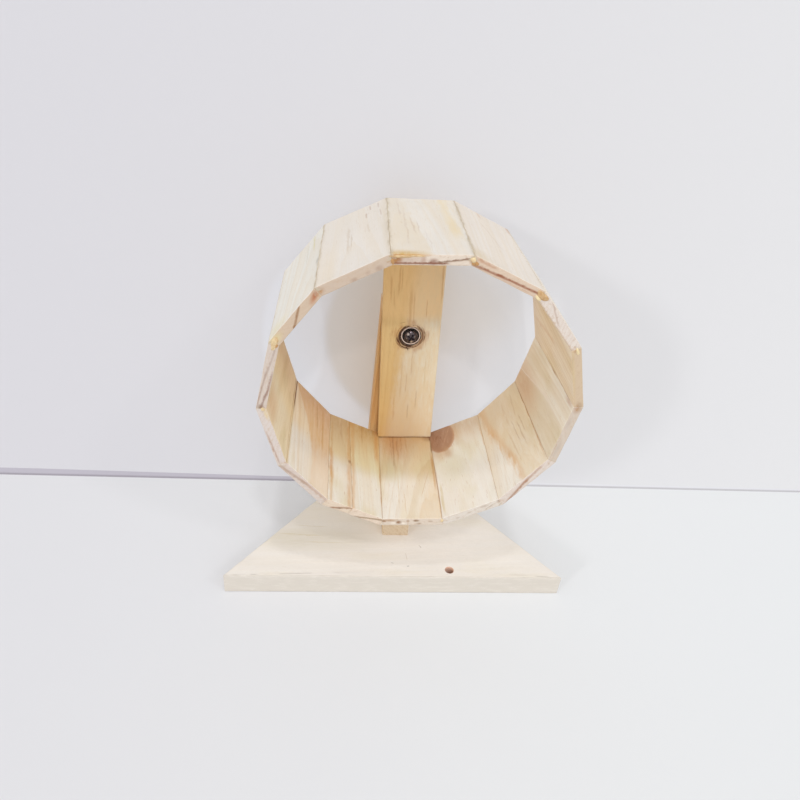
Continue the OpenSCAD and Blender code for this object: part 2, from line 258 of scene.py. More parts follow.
# Growth rings lie round the pith, whose distance gives the ring number. They lean with the taper and wander
# with slow noise. Fibres and resin canals are noise drawn out along the grain. Marks are painted on top.
def pineMaterial(name, board):
    b = {**pineDefaults, **board}
    made, wire = newMaterial(name)
    spot, facing = boardFrame(wire, b["place"], b["turn"])
    xyz = spot.split()
    across, along, depth = (xyz[k] for k in b["axes"])
    moved = {0: across + b["seed"], 1: along + b["seed"] * 7.3, 2: depth - b["seed"] * 3.1}
    grain = wire.node("ShaderNodeCombineXYZ", {}, moved)
    slow, small, wander, fibre, fine, canal, patch = (grain.noise(*n) for n in woodNoises.values())

    da, dd = across - b["pith"][0], depth - b["pith"][1]
    radius = (da * da + dd * dd).root() + along * b["taper"] + slow * b["wander"] + small * 1.6
    if b["knot"]:  # the rings bulge round it by push, over an oval of some width and length
        ka, kb, wide, long, push = b["knot"]
        one, two = (across - ka) * (1 / wide), (along - kb) * (1 / long)
        radius = radius + wire.math("EXPONENT", (one * one + two * two) * -1.0) * push
    ring = wire.math("FRACT", radius * (1 / b["rings"]) + (radius + b["seed"]).noiseAlong(0.22) * 1.3)
    late = ring.step(0.3, 0.9) * ring.step(1.0, 0.93)
    band = (radius + b["seed"] * 2).noiseAlong(0.13, 2.0).step(-0.08, 0.14)

    isOuter = depth.step(b["split"] - 0.4, b["split"] + 0.4)
    isInner = 1.0 - isOuter
    isEnd = abs(facing.split()[b["axes"][1]]).step(0.6, 0.85)
    # painted light: the inside grows paler towards the front, standing in for the lit front of the drum's
    # inside
    paintedLit = (along + slow * 10.0).step(b["paintedLitTo"][1], b["paintedLitTo"][0]) * isInner * b["paintedLitShare"]
    early = paintedLit.mix(isOuter.mix(b["inner"], b["outer"]), b["paintedLitTone"])
    lateTone = (paintedLit * 0.6).mix(isOuter.mix(b["innerLate"], b["outerLate"]), b["outerLate"])
    colour = (band * b["bandShare"] * (1.15 - isOuter * 0.7 - paintedLit * 0.6)).mix(early, b["band"])
    colour = (patch.step(0.02, 0.24) * isInner * b["oliveShare"]).mix(colour, b["olive"])
    colour = (late * b["late"] * (patch * 1.6 + 0.8)).mix(colour, lateTone)
    colour = (fibre.step(0.02, 0.3) * b["fibre"]).mix(colour, lateTone)
    colour = (fibre.step(-0.02, -0.3) * b["fibre"] * 0.6).mix(colour, early)
    colour = (canal.step(0.2, 0.28) * b["canals"]).mix(colour, isOuter.mix(b["innerCanal"], b["outerCanal"]))
    speck = fine * 0.16 + patch * 0.12 + 1.0
    grey = wire.node("ShaderNodeCombineColor", {}, {0: speck, 1: speck, 2: speck})
    colour = wire.blend(0.9, colour, grey, "MULTIPLY")

    rough = fine.step(0.0, 0.3) * 0.4 + wander.step(0.0, 0.26) * 0.42 + canal.step(0.05, 0.22) * 0.4
    colour = isEnd.mix(colour, (late * b["endLines"] + rough).mix(b["ends"], b["endLate"]))
    faces = {"innerMarks": (along, isInner * (1.0 - isEnd)), "outerMarks": (along, isOuter * (1.0 - isEnd)),
             "frontMarks": (depth, isEnd * along.step(-10.0, -20.0)), "marks": (along, 1.0)}
    mottle = wander * 1.3 + fine * 0.9 + 1.0
    for group, (second, face) in faces.items():
        for shape, paint, strength, broken in b.get(group, ()):
            shown = shape(across, second, wander) * strength * mottle * face
            if broken is not None:
                shown = shown * (wander + fine * 0.5).step(-broken, 0.12)
            colour = shown.mix(colour, paint)
    if b["seam"] > 0:  # dark beside the joints, by the point value edgeNear
        edge = wire.node("ShaderNodeAttribute", {"attribute_name": "edgeNear"}, {}, "Fac")
        stainAndGlints = edge * (wander * 2.6 + 0.7) * b["seam"]
        colour = (stainAndGlints.step(0.08, 0.95) * 0.85).mix(colour, isOuter.mix(b["seamColour"], b["seamOutside"]))

    skin = {"Base Color": colour, "Roughness": fibre * 0.25 + b["rough"], "Specular IOR Level": b["gloss"]}
    closeSkin(wire, skin, late * 0.5 + fibre * 0.9 + fine * 0.5, b["bump"], b["bumpDepth"])
    return made


# Smooth unevenness: a sum of slanted sine waves whose lengths lie round size
def waves(a, b, size, seed, count=7):
    draw = np.random.default_rng(seed)
    turn, phase = draw.uniform(0, 2 * np.pi, (2, count))
    length = size * draw.uniform(0.6, 1.8, count)
    a, b = np.broadcast_arrays(a, b)
    angle = (a[..., None] * np.cos(turn) + b[..., None] * np.sin(turn)) * 2 * np.pi / length + phase
    return np.sin(angle).sum(-1) / math.sqrt(count)


# Quads between the rows and columns of a grid of points, whose columns close on themselves
def gridFaces(rows, columns, closeRows=False, first=0):
    r, c = np.meshgrid(np.arange(rows if closeRows else rows - 1), np.arange(columns), indexing="ij")
    up, over = (r + 1) % rows, (c + 1) % columns
    quads = np.stack([r * columns + c, r * columns + over, up * columns + over, up * columns + c], -1)
    return quads.reshape(-1, 4) + first


# Several grids as one: their points in a row, the faces of each counted on from those before
def joinGrids(grids):
    starts = np.cumsum([0] + [g[..., 0].size for g in grids])
    faces = [gridFaces(*g.shape[:2], first=start) for g, start in zip(grids, starts)]
    return np.concatenate([g.reshape(-1, 3) for g in grids]), np.concatenate(faces)


# A mesh from points in millimetres, values per point kept for the shader, doubles merged, faces turned outwards
def newMesh(name, points, faces, values={}, mergeWithin=2e-6):
    mesh = bpy.data.meshes.new(name)
    mesh.from_pydata((points.reshape(-1, 3) * mm).tolist(), [], faces.tolist())
    for key, value in values.items():
        kept = mesh.attributes.new(key, "FLOAT", "POINT").data
        kept.foreach_set("value", np.ascontiguousarray(value, np.float32).ravel())
    work = bmesh.new()
    work.from_mesh(mesh)
    bmesh.ops.remove_doubles(work, verts=work.verts, dist=mergeWithin)
    bmesh.ops.recalc_face_normals(work, faces=work.faces)
    work.to_mesh(mesh)
    work.free()
    return mesh


def makePiece(name, points, faces, values, material, body, replaced, slotName):
    mesh = newMesh(name, points, faces, values)
    mesh.polygons.foreach_set("use_smooth", np.ones(len(mesh.polygons), bool))
    mesh.materials.append(material)
    piece = addObject(name, mesh)
    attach(piece, body)
    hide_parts(*replaced)
    return piece


# Shares from 0 to 1 that crowd towards both ends, the ends themselves left out
def crowded(count, power=1.6):
    t = np.linspace(-1, 1, count + 2)[1:-1]
    return 0.5 + 0.5 * np.sign(t) * (1 - (1 - np.abs(t)) ** power)


# A corner's short curve: from start to end, drawn towards the corner itself
def cornerCurve(start, corner, end, t):
    return (1 - t) ** 2 * start + 2 * t * (1 - t) * corner + t ** 2 * end


# A four-cornered section, corner by corner a short curve and then the straight edge to the next corner.
# corners is (rings, 4, 2). Also gives how far across each point is, from 0 at the left to 1 at the right.
def quadSection(corners, easing, wide, thick):
    parts, share = [], []
    lefts, edgeShares = (0, 1, 1, 0), (None, 1, None, 0)
    for i in range(4):
        here, before, after = corners[:, i], corners[:, i - 1], corners[:, (i + 1) % 4]
        arrive, leave = here - before, after - here
        arrive = arrive / np.linalg.norm(arrive, axis=-1, keepdims=True)
        leave = leave / np.linalg.norm(leave, axis=-1, keepdims=True)
        start, end = here - arrive * easing[i], here + leave * easing[i]
        stop = after - leave * easing[(i + 1) % 4]
        t = np.linspace(0, 1, 5)[None, :, None]
        parts.append(cornerCurve(start[:, None], here[:, None], end[:, None], t))
        share.append(np.full(5, float(lefts[i])))
        s = crowded(thick if i % 2 else wide)
        parts.append(end[:, None] * (1 - s[None, :, None]) + stop[:, None] * s[None, :, None])
        share.append(np.full(len(s), float(edgeShares[i])) if i % 2 else (s if i == 0 else 1 - s))
    return np.concatenate(parts, 1), np.concatenate(share)


# A board along Y: the section is carried from front to rear, its corners running straight from end to end, its
# ends eased and closed by rings that shrink onto the section's middle line. Points are (rings, section, 3).
def sawnBoard(frontCorners, rearCorners, yFront, yRear, seed, easing=(0.3, 0.3, 0.25, 0.25), wide=24, thick=5,
              rings=56, uneven=0.07, endUneven=0.12):
    e = 0.28  # how far the ends are eased
    cap, lip = np.array([1, 0.75, 0.45, 0.2, 0]), e * 0.3
    body = yFront + e + (yRear - yFront - 2 * e) * np.concatenate([[0], crowded(rings), [1]])
    still = np.zeros(len(body))
    levels = np.concatenate([0 * cap + yFront, [yFront + lip], body, [yRear - lip], 0 * cap + yRear])
    shrink = np.concatenate([cap, [0], still, [0], cap[::-1]])
    inset = np.concatenate([0 * cap + e, [lip], still, [lip], 0 * cap + e])
    t = ((levels - yFront) / (yRear - yFront))[:, None, None]
    corners = np.array(frontCorners)[None] * (1 - t) + np.array(rearCorners)[None] * t
    section, share = quadSection(corners, easing, wide, thick)
    left, right = (corners[:, 0] + corners[:, 3]) / 2, (corners[:, 1] + corners[:, 2]) / 2
    middle = left[:, None] + (right - left)[:, None] * np.clip(share, 0.07, 0.93)[None, :, None]
    away = section - middle
    reach = np.linalg.norm(away, axis=-1)
    width = np.linalg.norm(right - left, axis=-1)[:, None]
    acrossMm = share[None] * width
    face = np.minimum(share, 1 - share)[None] * width
    bulge = uneven * waves(acrossMm + 40 * np.sign(away[..., 1]), levels[:, None] * 0.6, 11, seed)
    bulge = bulge * np.clip(face / 3, 0, 1)
    keep = 1 - np.clip(shrink[:, None] + inset[:, None] / reach, 0, 1) + bulge / reach * (shrink[:, None] == 0)
    flat = middle + away * keep[..., None]
    y = np.broadcast_to(levels[:, None], reach.shape).copy()
    nearFront = np.clip(1 - (y - yFront) / 2.0, 0, 1)
    nearRear = np.clip(1 - (yRear - y) / 2.0, 0, 1)
    rough = np.clip(endUneven * (waves(acrossMm, reach * 1.3, 5, seed + 1) * 0.5 + 0.6), 0, 1)
    y = y + nearFront * rough - nearRear * rough
    edge = np.broadcast_to(np.exp(-face / 0.55), reach.shape)
    return np.stack([flat[..., 0], y, flat[..., 1]], -1), edge, np.broadcast_to(share[None], reach.shape)


# The drum. Angles of the joints at the front and the rear, in degrees, are the even ones plus what the hand-cut
# slats are off by. Joint 9.5 parts the two narrow slats of the ninth side and lies a little further in.
drum = {
    "axle": (3.415, 167.5), "front": -60.9, "back": 38.1, "outer": 99.8, "inner": 93.64, "gap": 0.1,
    "firstJoint": 104.857, "sideAngle": 360 / 14, "turn": -2,
    "splitAngles": (-115.0, -116.7), "splitScale": 0.976,
    "frontOff": (0.7, 0.65, -0.4, -0.1, 0.8, 0.5, -1.25, -0.65, -0.2, 0.1, 0.95, 0.6, -0.4, 0.85),
    "rearOff": (-0.7, -0.5, 0.7, 0.0, -1.2, -0.4, 0.0, 0.0, 0.3, -0.3, 1.0, 0.6, -1.5, -0.7),
    # the last value is how strongly painted light pales the front of the slats' insides
    "outsideFrom": 94.4, "stainSeam": 0.62, "paintedLitShare": 0.85,
}
axleX, axleZ = drum["axle"]


def jointAngles(joint):
    if joint == 9.5:
        return drum["splitAngles"]
    even = drum["firstJoint"] - (joint - 1) * drum["sideAngle"]
    return even + drum["frontOff"][joint - 1], even + drum["rearOff"][joint - 1]


# the outer and inner radius at a joint, less high and more by low
def jointRadii(joint, low=0.0, high=0.0):
    scale = drum["splitScale"] if joint == 9.5 else 1.0
    return drum["outer"] * scale - high, drum["inner"] * scale + low


# a corner of a slat: a point at the joint's angle and a radius, moved sideways by half the glue gap
def jointPoint(angle, radius, shift):
    c, s = math.cos(math.radians(angle)), math.sin(math.radians(angle))
    return axleX + radius * c + shift * s, axleZ + radius * s - shift * c


# the section between two joints: outer left, outer right, inner right, inner left
def jointSection(a, radiiA, b, radiiB, half):
    return [jointPoint(a, radiiA[0], half), jointPoint(b, radiiB[0], -half),
            jointPoint(b, radiiB[1], -half), jointPoint(a, radiiA[1], half)]


# 0 on the drum's inside and 1 on its outside, rising from the radius low over some millimetres
def outwards(points, low, over):
    return np.clip((np.hypot(points[..., 0] - axleX, points[..., 2] - axleZ) - low) / over, 0, 1)


# How dark the wood is beside each joint, on the outside and on the inside
jointStain = {
    1: (1.4, 0.4), 2: (1.5, 0.4), 3: (1.0, 0.4), 4: (0.8, 0.35), 5: (0.8, 0.6), 6: (0.7, 0.5), 7: (0.7, 0.4),
    8: (0.7, 0.6), 9: (0.7, 0.5), 9.5: (0.7, 0.5), 10: (0.7, 0.5), 11: (0.7, 0.6), 12: (0.8, 0.45),
    13: (1.0, 0.4), 14: (1.3, 0.4),
}


def slatPoints(left, right, seed, frontIn):
    ends = [jointSection(a, jointRadii(left), b, jointRadii(right), drum["gap"] / 2)
            for a, b in zip(jointAngles(left), jointAngles(right))]
    points, edge, share = sawnBoard(*ends, drum["front"] + frontIn, drum["back"], seed)
    outside = outwards(points, 93.8, 2.5)
    stain = [jointStain[k][1] * (1 - outside) + jointStain[k][0] * outside for k in (left, right)]
    return points, edge ** (1 - 0.6 * outside) * np.where(share < 0.5, *stain)


# Slats, numbered clockwise from the top. Marks on the inside and outside are placed across and along the slat,
# those on its front end across and outwards: from its middle line, from the origin and from the axle.
brown, redBrown, greyTan, palePink = (150, 96, 52), (140, 84, 56), (160, 140, 118), (240, 226, 212)
slatLooks = {}
slatLooks[1] = dict(
    pith=(-16, 138), rings=3.4, taper=0.05, ends=(220, 207, 193), outer=(224, 219, 213),
    outerMarks=[
        zone(-7, -0.13, -0.0008, -1, (220, 204, 178), 0.34, 2.5, 8),
        stroke(13.5, 62, 16, -42, 5.5, (228, 208, 166), 0.45, 10, soft=1.0),
        oval(16, -18, 3.5, 12, (222, 198, 146), 0.26, rag=1.2),
        stroke(-9, 2, -7.5, -30, 0.9, brown, 0.17, 3), stroke(-12, 20, -12.5, -50, 0.9, brown, 0.12, 4),
        stroke(-5.5, -6, -5, -28, 0.8, brown, 0.16, 3), stroke(-15, 34, -14, 0, 0.9, brown, 0.12, 4),
        stroke(-2, -20, 0, -50, 0.7, brown, 0.1, 4), oval(-17, -61, 11, 5, (202, 166, 98), 0.8, 0.8, 1.2),
    ],
    frontMarks=[
        stroke(-24, 92.1, 8, 92.6, 1.0, (132, 90, 70), 1.0, 1.6, fade=0.1),
        oval(-14, 93.6, 9, 1.6, (168, 136, 118), 0.45, rag=1.5),
        stroke(0, 92.8, 24, 96.0, 0.9, (140, 112, 92), 0.9, 1.2, fade=0.12),
        oval(-0.5, 93.4, 2.0, 1.5, (136, 92, 74), 0.75, 0.8),
        oval(-6, 94.4, 1.2, 1.6, (164, 126, 106), 0.5), stroke(-13, 97.2, 3, 97.3, 0.35, brown, 0.8, 0.4),
        oval(-15, 97.2, 10, 1.3, (190, 146, 84), 0.95, 0.7),
        oval(-20.5, 95.4, 3.0, 2.2, (176, 128, 80), 0.9, 0.7), oval(-19.5, 93.4, 2.0, 1.8, brown, 0.6, 0.8),
    ],
)
slatLooks[2] = dict(
    pith=(30, 60), rings=2.8, taper=0.03, ends=(211, 190, 170), bandShare=0.2, outer=(229, 221, 213),
    outerMarks=[
        oval(20, 34, 1.6, 7, (196, 150, 122), 0.45, 0.8),
        oval(-3.5, 32, 1.0, 5, (200, 164, 134), 0.35, 0.8),
        oval(-21, -56, 8, 8, (206, 180, 128), 0.35, rag=1.2),
        stroke(-6, 20, 4, -24, 0.5, (200, 178, 160), 0.5),
    ],
    frontMarks=[
        stroke(-25, 91.8, 0, 93.5, 1.2, redBrown, 0.75, 1.6),
        stroke(-12, 93.0, 28, 94.6, 1.2, (146, 92, 66), 0.85, 1.3),
        stroke(-22, 95.8, -8, 95.8, 1.2, (180, 134, 104), 0.6, 2),
        stroke(-10, 91.9, 20, 92.3, 0.5, (186, 150, 130), 0.5, 1.2),
    ],
)
slatLooks[3] = dict(
    pith=(-50, 50), rings=2.2, ends=(217, 207, 199),
    frontMarks=[
        stroke(-16, 98.2, 3, 92.5, 0.8, (176, 150, 132), 0.6, 0.9),
        stroke(-22, 91.6, 24, 91.6, 0.9, (192, 162, 128), 0.6, fade=0.1),
    ],
)
slatLooks[4] = dict(
    pith=(-35, 40), rings=2.4, ends=(201, 180, 154), inner=(244, 227, 200), paintedLitShare=0.15,
    innerMarks=[
        # painted shade: the wide oval at the back darkens the rear of the inside
        stroke(21, 4, 20, -60, 2.4, (186, 156, 110), 0.5, 3), oval(0, 44, 60, 20, (228, 206, 184), 0.5),
        stroke(4, 36, -6, -30, 2.4, (212, 168, 122), 0.3, 6),
    ],
    frontMarks=[
        oval(21, 94.8, 3.5, 1.6, (146, 104, 66), 0.6),
        oval(-6, 91.6, 20, 1.4, (198, 176, 128), 0.4, rag=1.2),
    ],
)
slatLooks[5] = dict(
    pith=(20, 50), rings=3.0, late=0.12, fibre=0.22, ends=(202, 189, 175), inner=(248, 241, 226),
    paintedLitShare=0.2, bandShare=0.2,
    innerMarks=[
        zone(1.6, 0.21, 0.00186, 1, (216, 196, 156), 0.36, 0.9),
        # painted shade: the second oval, wide at the back, darkens the rear of the inside
        oval(12.5, 24, 11, 28, (206, 148, 98), 0.52, 0.8, 1.0), oval(0, 50, 50, 50, (224, 200, 164), 0.4),
        stroke(10.5, 46, -3.4, -22, 0.6, palePink, 0.7, fade=0.1),
        stroke(-2.8, -14, -3.6, -70, 0.6, palePink, 0.6, fade=0.1),
        stroke(-20.8, 38, -20.6, -26, 0.9, (186, 138, 88), 0.6, 1.4),
        oval(-20.5, -52, 1.2, 5, (176, 112, 74), 0.4),
    ],
    frontMarks=[
        oval(-21.5, 94, 2.6, 2.0, (160, 114, 72), 0.6),
        stroke(4, 91.9, 20, 92.6, 0.4, (180, 154, 120), 0.6),
        stroke(-14, 96.9, 18, 97.0, 0.4, (190, 172, 152), 0.5), oval(10, 94, 5, 1.2, (178, 164, 152), 0.5),
        oval(-10, 93, 4, 1.0, (182, 168, 156), 0.45),
    ],
)
slatLooks[6] = dict(
    pith=(-4, 50), rings=2.6, taper=0.05, late=0.14, ends=(214, 203, 195), inner=(246, 243, 234),
    paintedLitShare=0.4, bandShare=0.25,
    innerMarks=[
        # painted shade: the oval at the back darkens the rear of the inside
        zone(13, 0.24, 0.0, -1, (222, 196, 146), 0.42, 3, 8), oval(0, 42, 60, 40, (228, 208, 180), 0.46),
        stroke(19, 52, 11.6, -10, 5.5, (220, 174, 120), 0.4, 9, soft=1.0),
        stroke(13.6, 14, 1.4, -46, 5.2, (218, 172, 116), 0.42, 9, soft=1.0),
        stroke(4, -20, -3, -80, 4.4, (216, 170, 114), 0.42, 8, soft=1.0),
        stroke(-5.5, 2, -7.5, -28, 0.8, (176, 134, 84), 0.34, 3),
        stroke(-10, -4, -11.5, -34, 0.7, (176, 134, 84), 0.32, 3),
        stroke(-0.5, -8, -3.5, -44, 0.9, (196, 160, 108), 0.3, 3),
        stroke(-13, 2, -14, -22, 0.7, (176, 134, 84), 0.3, 3),
        stroke(-12, 32, -11, 0, 0.8, (200, 170, 130), 0.34, 3),
        stroke(-2, 30, -3, -6, 1.4, (210, 180, 136), 0.3, 4),
        stroke(-20.6, 38, -20.8, -60, 0.8, (186, 136, 84), 0.65, 1.6),
    ],
    frontMarks=[
        stroke(-18, 91.8, 6, 94.0, 1.5, (172, 134, 108), 0.6, 1.6),
        stroke(-5, 92.4, 24, 97.4, 1.6, (160, 118, 92), 0.75, 1.4),
    ],
)
slatLooks[7] = dict(
    pith=(10, 45), rings=3.0, ends=(215, 207, 197), inner=(237, 235, 226), bandShare=0.1, late=0.07,
    fibre=0.24, knot=(12, 25, 13, 20, 6),
    innerMarks=[
        oval(6, -14, 9, 18, (212, 204, 164), 0.32, 1.0, 2.5),
        # painted shade: the first oval darkens the back of the inside on its left
        oval(-12, 38, 18, 22, (212, 178, 138), 0.55, 0.8), oval(14, 7.5, 7, 7, (206, 168, 128), 0.5),
        oval(0.5, 30, 4.5, 13, (206, 172, 134), 0.6, 0.8),
        oval(12.6, 27.6, 11.7, 19.5, (194, 148, 114), 0.8, 0.06, 0.18, tilt=-2),
        oval(12.8, 28, 10.8, 18.6, (177, 138, 111), 0.88, 0.1, 0.2, tilt=-2),
        oval(18, 26, 7.0, 13, (146, 100, 72), 0.5, rag=1.2),
        stroke(3, 38, 13, 12, 1.0, (206, 172, 146), 0.5, 4, broken=0.1),
        stroke(6, 40, 17, 16, 0.7, (134, 92, 70), 0.6, 4, broken=0.1),
        stroke(11, 38, 19, 20, 0.7, (138, 94, 72), 0.55, 4, broken=0.1),
        oval(9, 6, 2.6, 6, (196, 160, 122), 0.5, tilt=-14),
        stroke(21.4, 12, 21.6, -60, 0.9, (170, 116, 66), 0.75, 1.4),
        stroke(-20.4, 34, -20.2, -56, 1.5, (220, 180, 122), 0.5, 2),
        stroke(19, -24, 19.5, -60, 1.6, (206, 186, 136), 0.5, 2),
    ],
    frontMarks=[
        stroke(-15, 94, -7, 96.6, 0.6, greyTan, 0.6, 1.4),
        stroke(-24, 94.2, -17, 97, 0.7, greyTan, 0.7, 1.2), oval(3, 94, 1.4, 0.6, greyTan, 0.4, 0.8),
        oval(12, 95.4, 1.2, 0.6, greyTan, 0.4, 0.8), oval(-8, 93.2, 2.4, 0.8, (176, 160, 146), 0.55, 0.8),
        oval(-19.5, 93, 1.8, 1.2, (140, 112, 92), 0.6, 0.8),
    ],
)
slatLooks[8] = dict(
    # the inside's darker tone is partly painted shade under the crossbar
    pith=(-18, 44), rings=3.2, taper=0.075, ends=(213, 200, 185), inner=(222, 211, 187), bandShare=0.3,
    innerMarks=[
        # painted shade: both ovals darken the back of the inside under the crossbar
        oval(2, 48, 60, 30, (206, 161, 102), 0.72, 0.8), oval(8, 26, 8, 24, (196, 136, 82), 0.5, rag=1.6),
        stroke(9.4, 44, 9.8, -14, 1.1, (160, 104, 60), 0.42, 3),
        stroke(6.2, 42, 6.4, 0, 0.8, (170, 112, 66), 0.36, 3),
        stroke(11.8, 42, 11.2, 0, 0.7, (170, 112, 66), 0.34, 3),
        stroke(3, 40, 3.4, 8, 0.7, (176, 118, 70), 0.3, 3),
        stroke(0, 40, -1, 12, 0.8, (180, 124, 76), 0.26, 3), oval(-20, 31, 5, 3.4, (136, 80, 50), 0.6),
        stroke(-20.8, 44, -20.4, 10, 1.3, (110, 62, 38), 0.75, 1.4),
        stroke(-19.6, 14, -18.6, -34, 1.5, (186, 130, 70), 0.65, 2),
        stroke(-20.2, -34, -19.6, -60, 0.8, (196, 156, 104), 0.6, 2),
        zone(-22.4, -0.334, 0.0, -1, (226, 202, 166), 0.36, 3.0, 5),
        stroke(-16, -8, -7, -40, 0.5, (206, 170, 124), 0.45, 1.5),
        oval(13, -8, 7, 12, (212, 204, 158), 0.34, 1.0, 2),
        # painted shadow: a dark line across the inside at the crossbar's foot
        stroke(-24, 32.0, 24, 32.0, 0.9, (110, 66, 40), 0.6, 1.2, fade=0.1),
        stroke(8, -10, 9, -56, 0.5, (214, 190, 154), 0.5, 2),
        stroke(4.5, -30, 4.5, -58, 0.5, (212, 184, 146), 0.5, 2),
    ],
    frontMarks=[
        oval(-4, 96, 1.6, 0.8, (160, 132, 108), 0.7), oval(-2, 93.2, 1.8, 0.9, (138, 106, 78), 0.85, 0.7),
        oval(3.6, 93.6, 1.0, 0.9, (156, 122, 96), 0.6, 0.8),
        oval(-12, 94, 1.4, 0.7, (160, 132, 108), 0.5, 0.8),
        oval(6.6, 95.6, 1.4, 0.8, (238, 228, 214), 0.6, 0.7),
        oval(13.6, 95.2, 1.6, 0.9, (238, 228, 214), 0.55, 0.7),
        oval(20.4, 93.4, 1.6, 1.0, (138, 108, 84), 0.8, 0.7),
        oval(10, 94.6, 1.6, 1.3, (140, 102, 70), 0.85, 0.7),
        oval(16, 92.8, 4, 1.0, (170, 134, 102), 0.7, 0.8),
        stroke(3.6, 91, 3.6, 98, 0.5, (186, 150, 116), 0.4),
    ],
)
slatLooks[9] = dict(
    pith=(30, 60), rings=2.4, late=0.12, fibre=0.28, bandShare=0.24, ends=(219, 202, 184),
    inner=(231, 223, 190), oliveShare=0.5,
    innerMarks=[
        # painted shade: the wide oval darkens the back of the inside
        oval(-8, 48, 60, 34, (200, 155, 90), 0.78, 0.8),
        stroke(-18.4, 60, -18.8, -8, 3.0, (208, 148, 84), 0.5, 5, soft=1.0),
        stroke(-20.4, 6, -20.4, -60, 0.8, (190, 142, 88), 0.6, 1.4),
        stroke(-6, 38, -6.4, 14, 0.8, (186, 134, 84), 0.4, 2),
        stroke(1.8, 60, 1.5, -80, 2.6, (210, 160, 100), 0.46, 4, soft=1.0, fade=0.1),
    ],
    frontMarks=[
        stroke(-25, 91.4, 0, 98.2, 1.1, (146, 120, 92), 0.8, fade=0.15),
    ],
)
slatLooks[10] = dict(
    pith=(20, 50), rings=2.2, ends=(217, 200, 180), inner=(225, 211, 178), oliveShare=0.4,
    innerMarks=[
        # painted shade: the wide oval darkens the back of the inside
        oval(14, 46, 40, 34, (191, 154, 109), 0.7),
        stroke(5.0, 60, 4.2, -80, 3.0, (208, 158, 98), 0.46, 4, soft=1.0, fade=0.1),
        stroke(12, 40, 11, 8, 1.2, (190, 150, 112), 0.34, 4),
        oval(4.4, -12.5, 1.0, 1.6, (140, 92, 54), 0.6, 0.8),
        stroke(19.4, 34, 19.0, -20, 1.4, (196, 148, 92), 0.4, 3, soft=1.0),
        stroke(19.6, -2, 18.0, -46, 2.4, (202, 142, 76), 0.6, 3, soft=1.0),
        stroke(18.6, -24, 18.0, -80, 1.8, (208, 166, 110), 0.5, 3, soft=1.0),
    ],
    frontMarks=[
        stroke(1.5, 91.2, 17, 97.6, 1.3, (150, 110, 82), 0.8, 0.9, fade=0.15),
        oval(10.4, 95.4, 1.6, 0.7, (96, 70, 58), 0.4, tilt=22),
    ],
)
slatLooks[11] = dict(
    pith=(40, 50), rings=2.8, ends=(206, 194, 186), inner=(238, 224, 202),
    innerMarks=[
        zone(3.2, 0.32, 0.0036, -1, (218, 174, 120), 0.52, 1.2, 3),
        # painted light and shade: the first oval pales the lit front, the second darkens the back of the inside
        oval(-15, -52, 14, 24, (240, 228, 212), 0.75, 0.8), oval(-6, 46, 34, 30, (196, 144, 102), 0.45),
        stroke(-12, 34, -13, -20, 1.2, (200, 148, 90), 0.5, 3),
        stroke(-5, 34, -7, 0, 0.8, (186, 136, 92), 0.4, 3),
        stroke(20.0, 62, 19.7, -8, 2.1, (116, 74, 44), 1.0, 0.8, soft=0.6, fade=0.35),
        stroke(20.2, 6, 19.8, -50, 1.4, (196, 154, 96), 0.6, 1.4, soft=0.8),
        stroke(19.6, 16, 19.0, -80, 2.2, (204, 178, 118), 0.5, 3, soft=1.0),
    ],
    frontMarks=[
        stroke(-24, 92.2, 6, 94.0, 1.6, (180, 148, 124), 0.6, 1.8),
        stroke(-6, 93.0, 24, 97.0, 1.6, (166, 138, 118), 0.7, 1.6),
    ],
)
slatLooks[12] = dict(
    pith=(-30, 55), rings=2.4, ends=(210, 200, 194), inner=(243, 226, 190), paintedLitShare=0.25, oliveShare=0.55,
    late=0.1, fibre=0.18, bandShare=0.2,
    innerMarks=[
        # painted shade: the first oval darkens the back of the inside
        oval(4, 36, 30, 32, (214, 170, 130), 0.5), oval(13, -46, 7, 14, (208, 150, 90), 0.4, 1.0, 1.5),
        stroke(-20.4, 38, -20.2, -60, 1.0, (196, 156, 92), 0.5, 2),
        stroke(-20.3, 62, -20.3, -4, 1.1, (150, 104, 66), 0.4, 0.8, soft=0.6, fade=0.35),
    ],
    frontMarks=[
        stroke(-26, 95.0, 6, 96.5, 1.0, (170, 138, 118), 0.65, 1.4),
        oval(17, 92.6, 5, 1.2, (214, 190, 140), 0.6, 0.6),
    ],
)
slatLooks[13] = dict(
    pith=(10, 40), rings=2.4, ends=(205, 193, 184),
    frontMarks=[
        stroke(-26, 95.2, -6, 91.8, 1.1, (140, 108, 96), 0.7, 1.2),
        stroke(-14, 92.6, 5, 91.6, 1.1, (150, 118, 100), 0.65, 1.2),
        stroke(-26, 97.0, 7, 95.0, 0.9, (166, 142, 128), 0.7, 1.2),
        stroke(-5, 95.8, 24, 92.0, 1.0, (168, 146, 132), 0.6, 1.2),
        oval(-21.5, 94.4, 1.8, 1.6, (120, 84, 56), 0.7, 0.8),
    ],
)
slatLooks[14] = dict(
    pith=(15, 130), rings=2.6, ends=(201, 181, 160), outer=(231, 228, 221),
    outerMarks=[
        stroke(13, 38, 15, 6, 1.3, (214, 204, 150), 0.55, 3),
        stroke(8, 30, 8, -4, 0.7, (206, 196, 172), 0.5, 3), oval(20.6, -20, 1.2, 4.0, (170, 164, 152), 0.6),
        oval(-15, -56, 7, 8, (226, 214, 168), 0.4, 1.0, 1.4),
    ],
    frontMarks=[
        stroke(-7, 90.8, 8, 98.0, 1.1, (146, 106, 70), 0.8, 0.9, fade=0.15),
        oval(17, 94.7, 4.4, 1.6, (180, 122, 88), 0.8, 0.8, 0.8, tilt=18),
        oval(18, 95.0, 2.6, 0.9, (156, 96, 64), 0.5, tilt=18),
        oval(-18, 95.4, 4.5, 2.0, (220, 208, 148), 0.5),
    ],
)
